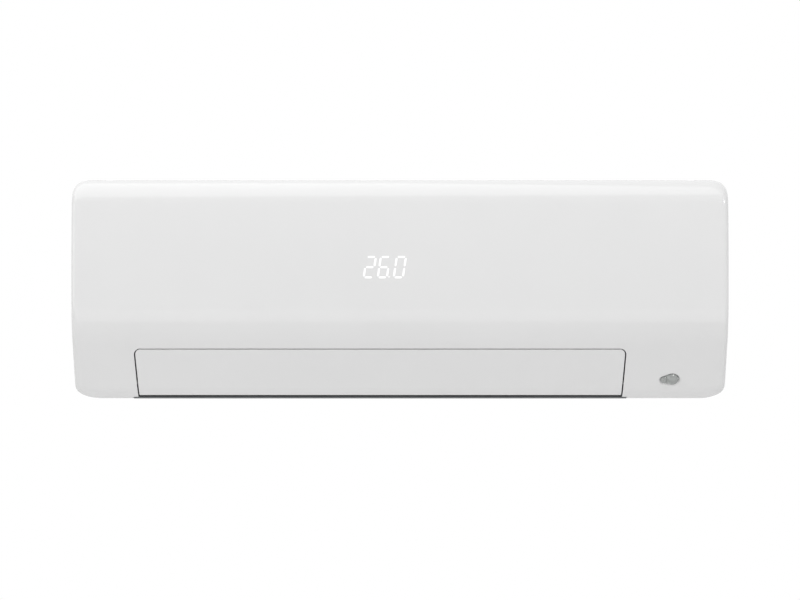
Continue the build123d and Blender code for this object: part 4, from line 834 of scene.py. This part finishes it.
ridges = add_node(tree, "ShaderNodeBump", {"Strength": 0.8, "Distance": 0.5 * mm},
                  {"Height": plates.outputs[1]})
tree.links.new(painted_gap_shade.outputs[2], shader.inputs["Base Color"])
tree.links.new(ridges.outputs[0], shader.inputs["Normal"])
for name in ("coil_front_lower", "coil_front_upper", "coil_rear"):
    refined(name, fins, 0.4)

# Hot-dip galvanised sheet: a dull bluish metal with a spangle of crystals about 9 mm across.
zinc = bpy.data.materials.new("galvanised_sheet")
zinc.use_nodes = True
tree = zinc.node_tree
shader = tree.nodes["Principled BSDF"]
shader.inputs["Metallic"].default_value = 1.0
place = add_node(tree, "ShaderNodeTexCoord").outputs["Object"]
crystals = add_node(tree, "ShaderNodeTexVoronoi", {"Scale": 1000 / crystal_size},
                    {"Vector": place})
grey = add_node(tree, "ShaderNodeSeparateColor", links={0: crystals.outputs["Color"]})
spangle = add_node(tree, "ShaderNodeMix",
                   {"data_type": "RGBA", 6: linear("#A9AEB1"), 7: linear("#C4C9CB")},
                   {0: grey.outputs[0]})
dull = add_node(tree, "ShaderNodeMapRange", {"To Min": 0.3, "To Max": 0.48}, {0: grey.outputs[1]})
tree.links.new(spangle.outputs[2], shader.inputs["Base Color"])
tree.links.new(dull.outputs[0], shader.inputs["Roughness"])
for name in ("coil_end_plate_left", "coil_end_plate_right"):
    refined(name, zinc, 0.2)

tube_sides = 18
tube_smooth = 60
degrees_per_step = 11


def mottled_metal(name, deep, pale, patch, detail, rough_at_deep, rough_at_pale):
    """Bare metal whose colour and shine drift together over its surface, in patches of a size."""
    finish = bpy.data.materials.new(name)
    finish.use_nodes = True
    tree = finish.node_tree
    shader = tree.nodes["Principled BSDF"]
    shader.inputs["Metallic"].default_value = 1.0
    place = add_node(tree, "ShaderNodeTexCoord").outputs["Object"]
    mottle = add_node(tree, "ShaderNodeTexNoise", {"Scale": 1000 / patch, "Detail": detail},
                      {"Vector": place})
    colours = add_node(tree, "ShaderNodeMix",
                       {"data_type": "RGBA", 6: linear(deep), 7: linear(pale)},
                       {0: mottle.outputs[0]})
    dull = add_node(tree, "ShaderNodeMapRange",
                    {"To Min": rough_at_deep, "To Max": rough_at_pale}, {0: mottle.outputs[0]})
    tree.links.new(colours.outputs[2], shader.inputs["Base Color"])
    tree.links.new(dull.outputs[0], shader.inputs["Roughness"])
    return finish


def bent_tube(mesh, corners, bend, radius):
    """Round tube along a route: a ring swept straight, and turned about each bend's centre."""
    corners = [Vector(corner) for corner in corners]
    at = corners[0]
    first = (corners[1] - at).normalized()
    place = Matrix.Translation(at * mm) @ first.to_track_quat("Z", "Y").to_matrix().to_4x4()
    ring = bmesh.ops.create_circle(mesh, segments=tube_sides, radius=radius * mm,
                                   matrix=place)["verts"]
    edges = list(dict.fromkeys(e for v in ring for e in v.link_edges))
    for before, corner, after in zip(corners, corners[1:], corners[2:] + [None]):
        into = (corner - before).normalized()
        reach = 0.0
        if after is not None:
            out = (after - corner).normalized()
            turn = into.angle(out)
            reach = bend * math.tan(turn / 2)
        end = corner - into * reach
        moved = bmesh.ops.extrude_edge_only(mesh, edges=edges)["geom"]
        bmesh.ops.translate(mesh, vec=(end - at) * mm, verts=only(Vert, moved))
        edges = only(Edge, moved)
        at = end
        if after is not None:
            inward = (out - into * out.dot(into)).normalized()
            swept = bmesh.ops.spin(mesh, geom=edges, cent=(end + inward * bend) * mm,
                                   axis=into.cross(out).normalized(), angle=turn,
                                   steps=max(4, round(math.degrees(turn) / degrees_per_step)))
            edges = only(Edge, swept["geom_last"])
            at = corner + out * reach
    return edges


# Bare drawn copper: warm and fairly bright, browned and duller here and there where it was brazed.
copper = mottled_metal("drawn_copper_tube", "#8A5238", "#D08A62", 25.0, 5.0, 0.42, 0.2)

# Each slab's middle line, as depth and height at its lower and upper end.
coil_slabs = [
    ((165.0, -46.0), (165.0, 46.0)), ((163.5, 58.0), (119.0, 110.0)), ((50.0, 44.0), (96.0, 111.0))
]
coil_tube_pitch = 21.0
coil_tube_radius = 3.6
coil_end_margin = 10.0
bend_round = 10.2
plate_face = -347.2
bend_reach = -359.5
bends_mesh = bmesh.new()
for low, high in coil_slabs:
    low, high = Vector(low), Vector(high)
    length = (high - low).length
    along = (high - low).normalized()
    count = int(((length - coil_end_margin) / coil_tube_pitch + 1) // 2)
    start = (length - (2 * count - 1) * coil_tube_pitch) / 2
    for k in range(count):
        d0, z0 = low + along * (start + 2 * k * coil_tube_pitch)
        d1, z1 = low + along * (start + (2 * k + 1) * coil_tube_pitch)
        hairpin = [(plate_face, -d0, z0), (bend_reach, -d0, z0),
                   (bend_reach, -d1, z1), (plate_face, -d1, z1)]
        bent_tube(bends_mesh, hairpin, bend_round, coil_tube_radius)
bmesh.ops.recalc_face_normals(bends_mesh, faces=bends_mesh.faces)
bends = shade(bends_mesh, "coil_return_bends", tube_smooth)
bends.data.materials.append(copper)
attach(bends, "chassis")
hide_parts("return_bends")

# ------------------------------------------------------------------ cross-flow fan
# Three lengths of forward-curved blades in glass-filled plastic, welded end to end, with a disc and
# a stub shaft on the left and a hub on the right. The motor is cast in resin and held to the
# chassis by a moulded band, and a rubber bush in a cup carries the other end.

# Glass-filled styrene: a matt dark grey, a little cloudy from its fibres.
fan_plastic = moulding("glass_filled_grey_plastic", "#45484B", "#383B3E", 60.0, 0.5, 2.0, 0.03)
for name in ("fan_segment_1", "fan_segment_2", "fan_segment_3", "fan_left_cap", "fan_hub"):
    refined(name, fan_plastic, 0.0, angle=30)

# Cast polyester resin: cream, satin and faintly pitted.
resin = moulding("cast_pale_resin", "#D8D5C8", "#CBC7B8", 40.0, 0.45, 3.0, 0.05)
refined("fan_motor", resin, 0.6, 3)
refined("motor_mount", grained_abs, 0.4)
refined("bearing_housing", grained_abs, 0.3)

# Moulded rubber: nearly black, with no more than a dull sheen.
rubber = moulding("soft_black_rubber", "#1B1B1C", "#121213", 20.0, 0.7, 1.2, 0.04)
refined("bearing_bush", rubber, 0.3)

# ------------------------------------------------------------------ chassis and outlet
# The chassis is one large white moulding: back wall, fan scroll, outlet floor and pipe channel. Ten
# small vanes on two link bars stand on the floor, all in dark grey plastic. The outlet floor takes
# the same grey as painted shade, for the shadowed opening under the air flap.
duct_from = 64.0
duct_top = -78.0
duct_underside = -144.5
duct_margin = 1.0
faces_down = -0.9

# Grey high-impact plastic with a fine grain: matt. On the outlet floor the same grey is painted
# shade, so that the outlet reads as a dark opening.
grey_plastic_and_outlet_shade = moulding("grey_plastic_and_painted_outlet_shade", "#808284", "#747678", 80.0, 0.5, 1.5, 0.02)
chassis = refined("rear_casing", grained_abs, 0.0, angle=25)
chassis.data.materials.append(grey_plastic_and_outlet_shade)
# Painted shade: the outlet floor's faces take the grey, all but those facing down under the unit.
for face in chassis.data.polygons:
    x, y, z = (c / mm for c in face.center)
    between = outlet_left - duct_margin < x < outlet_right + duct_margin
    outside = face.normal.z < faces_down and z < duct_underside
    if between and -y > duct_from and z < duct_top and not outside:
        face.material_index = 1
for side in ("left", "right"):
    for k in range(1, 6):
        refined(f"vane_{side}_{k}", grey_plastic_and_outlet_shade, 0.4)
    refined("link_bar_" + side, grey_plastic_and_outlet_shade, 0.4)
refined("louvre_support", grey_plastic_and_outlet_shade, 0.4)
refined("louvre_motor", zinc, 0.5)

# ------------------------------------------------------------------ drain
# A white moulded pan under the coil catches its water. A spout leads it to the hose at the back,
# and a rubber plug closes the spare outlet at the other end.
for name in ("drain_pan", "drain_spout"):
    refined(name, grained_abs, 0.4)
refined("drain_plug", rubber, 0.5)

# ------------------------------------------------------------------ electrics
# A flame-resistant box with a steel cover holds the main board and the terminal block. Small boards
# carry the display, the receiver and the switch. All screws are zinc-plated steel.
track_spacing = 3.0

# Solder mask on a glass-fibre board: a glossy deep green, paler where tracks run under it.
mask = bpy.data.materials.new("green_solder_mask")
mask.use_nodes = True
tree = mask.node_tree
shader = tree.nodes["Principled BSDF"]
shader.inputs["Roughness"].default_value = 0.3
place = add_node(tree, "ShaderNodeTexCoord").outputs["Object"]
tracks = add_node(tree, "ShaderNodeTexVoronoi",
                  {"Scale": 1000 / track_spacing, "distance": "MANHATTAN",
                   "feature": "DISTANCE_TO_EDGE"}, {"Vector": place})
borders = add_node(tree, "ShaderNodeMapRange", {"From Max": 0.12}, {0: tracks.outputs[0]})
greens = add_node(tree, "ShaderNodeMix",
                  {"data_type": "RGBA", 6: linear("#2E7A45"), 7: linear("#1D5230")},
                  {0: borders.outputs[0]})
tree.links.new(greens.outputs[2], shader.inputs["Base Color"])
for name in ("main_board", "display_board", "receiver_board", "switch_board"):
    refined(name, mask, 0.15, 1)

# Flame-resistant ABS, left unpainted: a flat mid grey with a fine grain.
box_plastic = moulding("grey_flame_resistant_plastic", "#8E9092", "#848688", 70.0, 0.45, 1.5, 0.02)
for name in ("control_box", "display_housing", "terminal_block"):
    refined(name, box_plastic, 0.3)
refined("control_cover", zinc, 0.2)
refined("room_sensor", rubber, 0.3)

# Zinc-plated steel screws, bright with a faint mottle of the plating bath.
plated = mottled_metal("zinc_plated_steel", "#A7A8A6", "#C9CAC6", 4.0, 2.0, 0.22, 0.38)
refined("terminal_screws", plated, 0.15, 1)
refined("case_screws", plated, 0.2)

# ------------------------------------------------------------------ pipes and wall plate
# The two copper pipes come down behind the motor and run left along the channel, held by a strap,
# and end in brass flare nuts. The whole unit hangs on a galvanised plate.
pipe_start_x = 291.5
pipe_end_x = -120.0
pipe_first_drop = 22.0
pipe_bend = 9.0
pipe_wall = 0.8
pipe_bore = 25.0
for node, radius, (start_depth, start_z), drop_x, depth, z in (
    ("gas_pipe", 4.76, (75.0, 81.0), 308.0, 22.0, -92.0),
    ("liquid_pipe", 3.18, (57.0, 54.0), 318.0, 20.0, -118.0),
):
    route = [
        (pipe_start_x, -start_depth, start_z), (drop_x, -start_depth, start_z),
        (drop_x, -depth, start_z - pipe_first_drop), (drop_x, -depth, z), (pipe_end_x, -depth, z),
    ]
    tube = bmesh.new()
    rim = bent_tube(tube, route, pipe_bend, radius)
    centre = Matrix.Translation(-spot(pipe_end_x, depth, z))
    for scale, along in (((radius - pipe_wall) / radius, 0.0), (1.0, pipe_bore)):
        moved = bmesh.ops.extrude_edge_only(tube, edges=rim)["geom"]
        fresh = only(Vert, moved)
        bmesh.ops.scale(tube, vec=(1.0, scale, scale), space=centre, verts=fresh)
        bmesh.ops.translate(tube, vec=(along * mm, 0.0, 0.0), verts=fresh)
        rim = only(Edge, moved)
    bmesh.ops.recalc_face_normals(tube, faces=tube.faces)
    pipe = shade(tube, node + "_tube", tube_smooth)
    pipe.data.materials.append(copper)
    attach(pipe, "chassis")
    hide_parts(node)

# Forged and turned brass: a warm dull yellow, cloudy from handling.
brass = mottled_metal("forged_brass", "#A88A4A", "#CFB36C", 8.0, 4.0, 0.24, 0.4)
refined("flare_nuts", brass, 0.5)
refined("pipe_clamp", grained_abs, 0.4)
refined("wall_plate", zinc, 0.2)
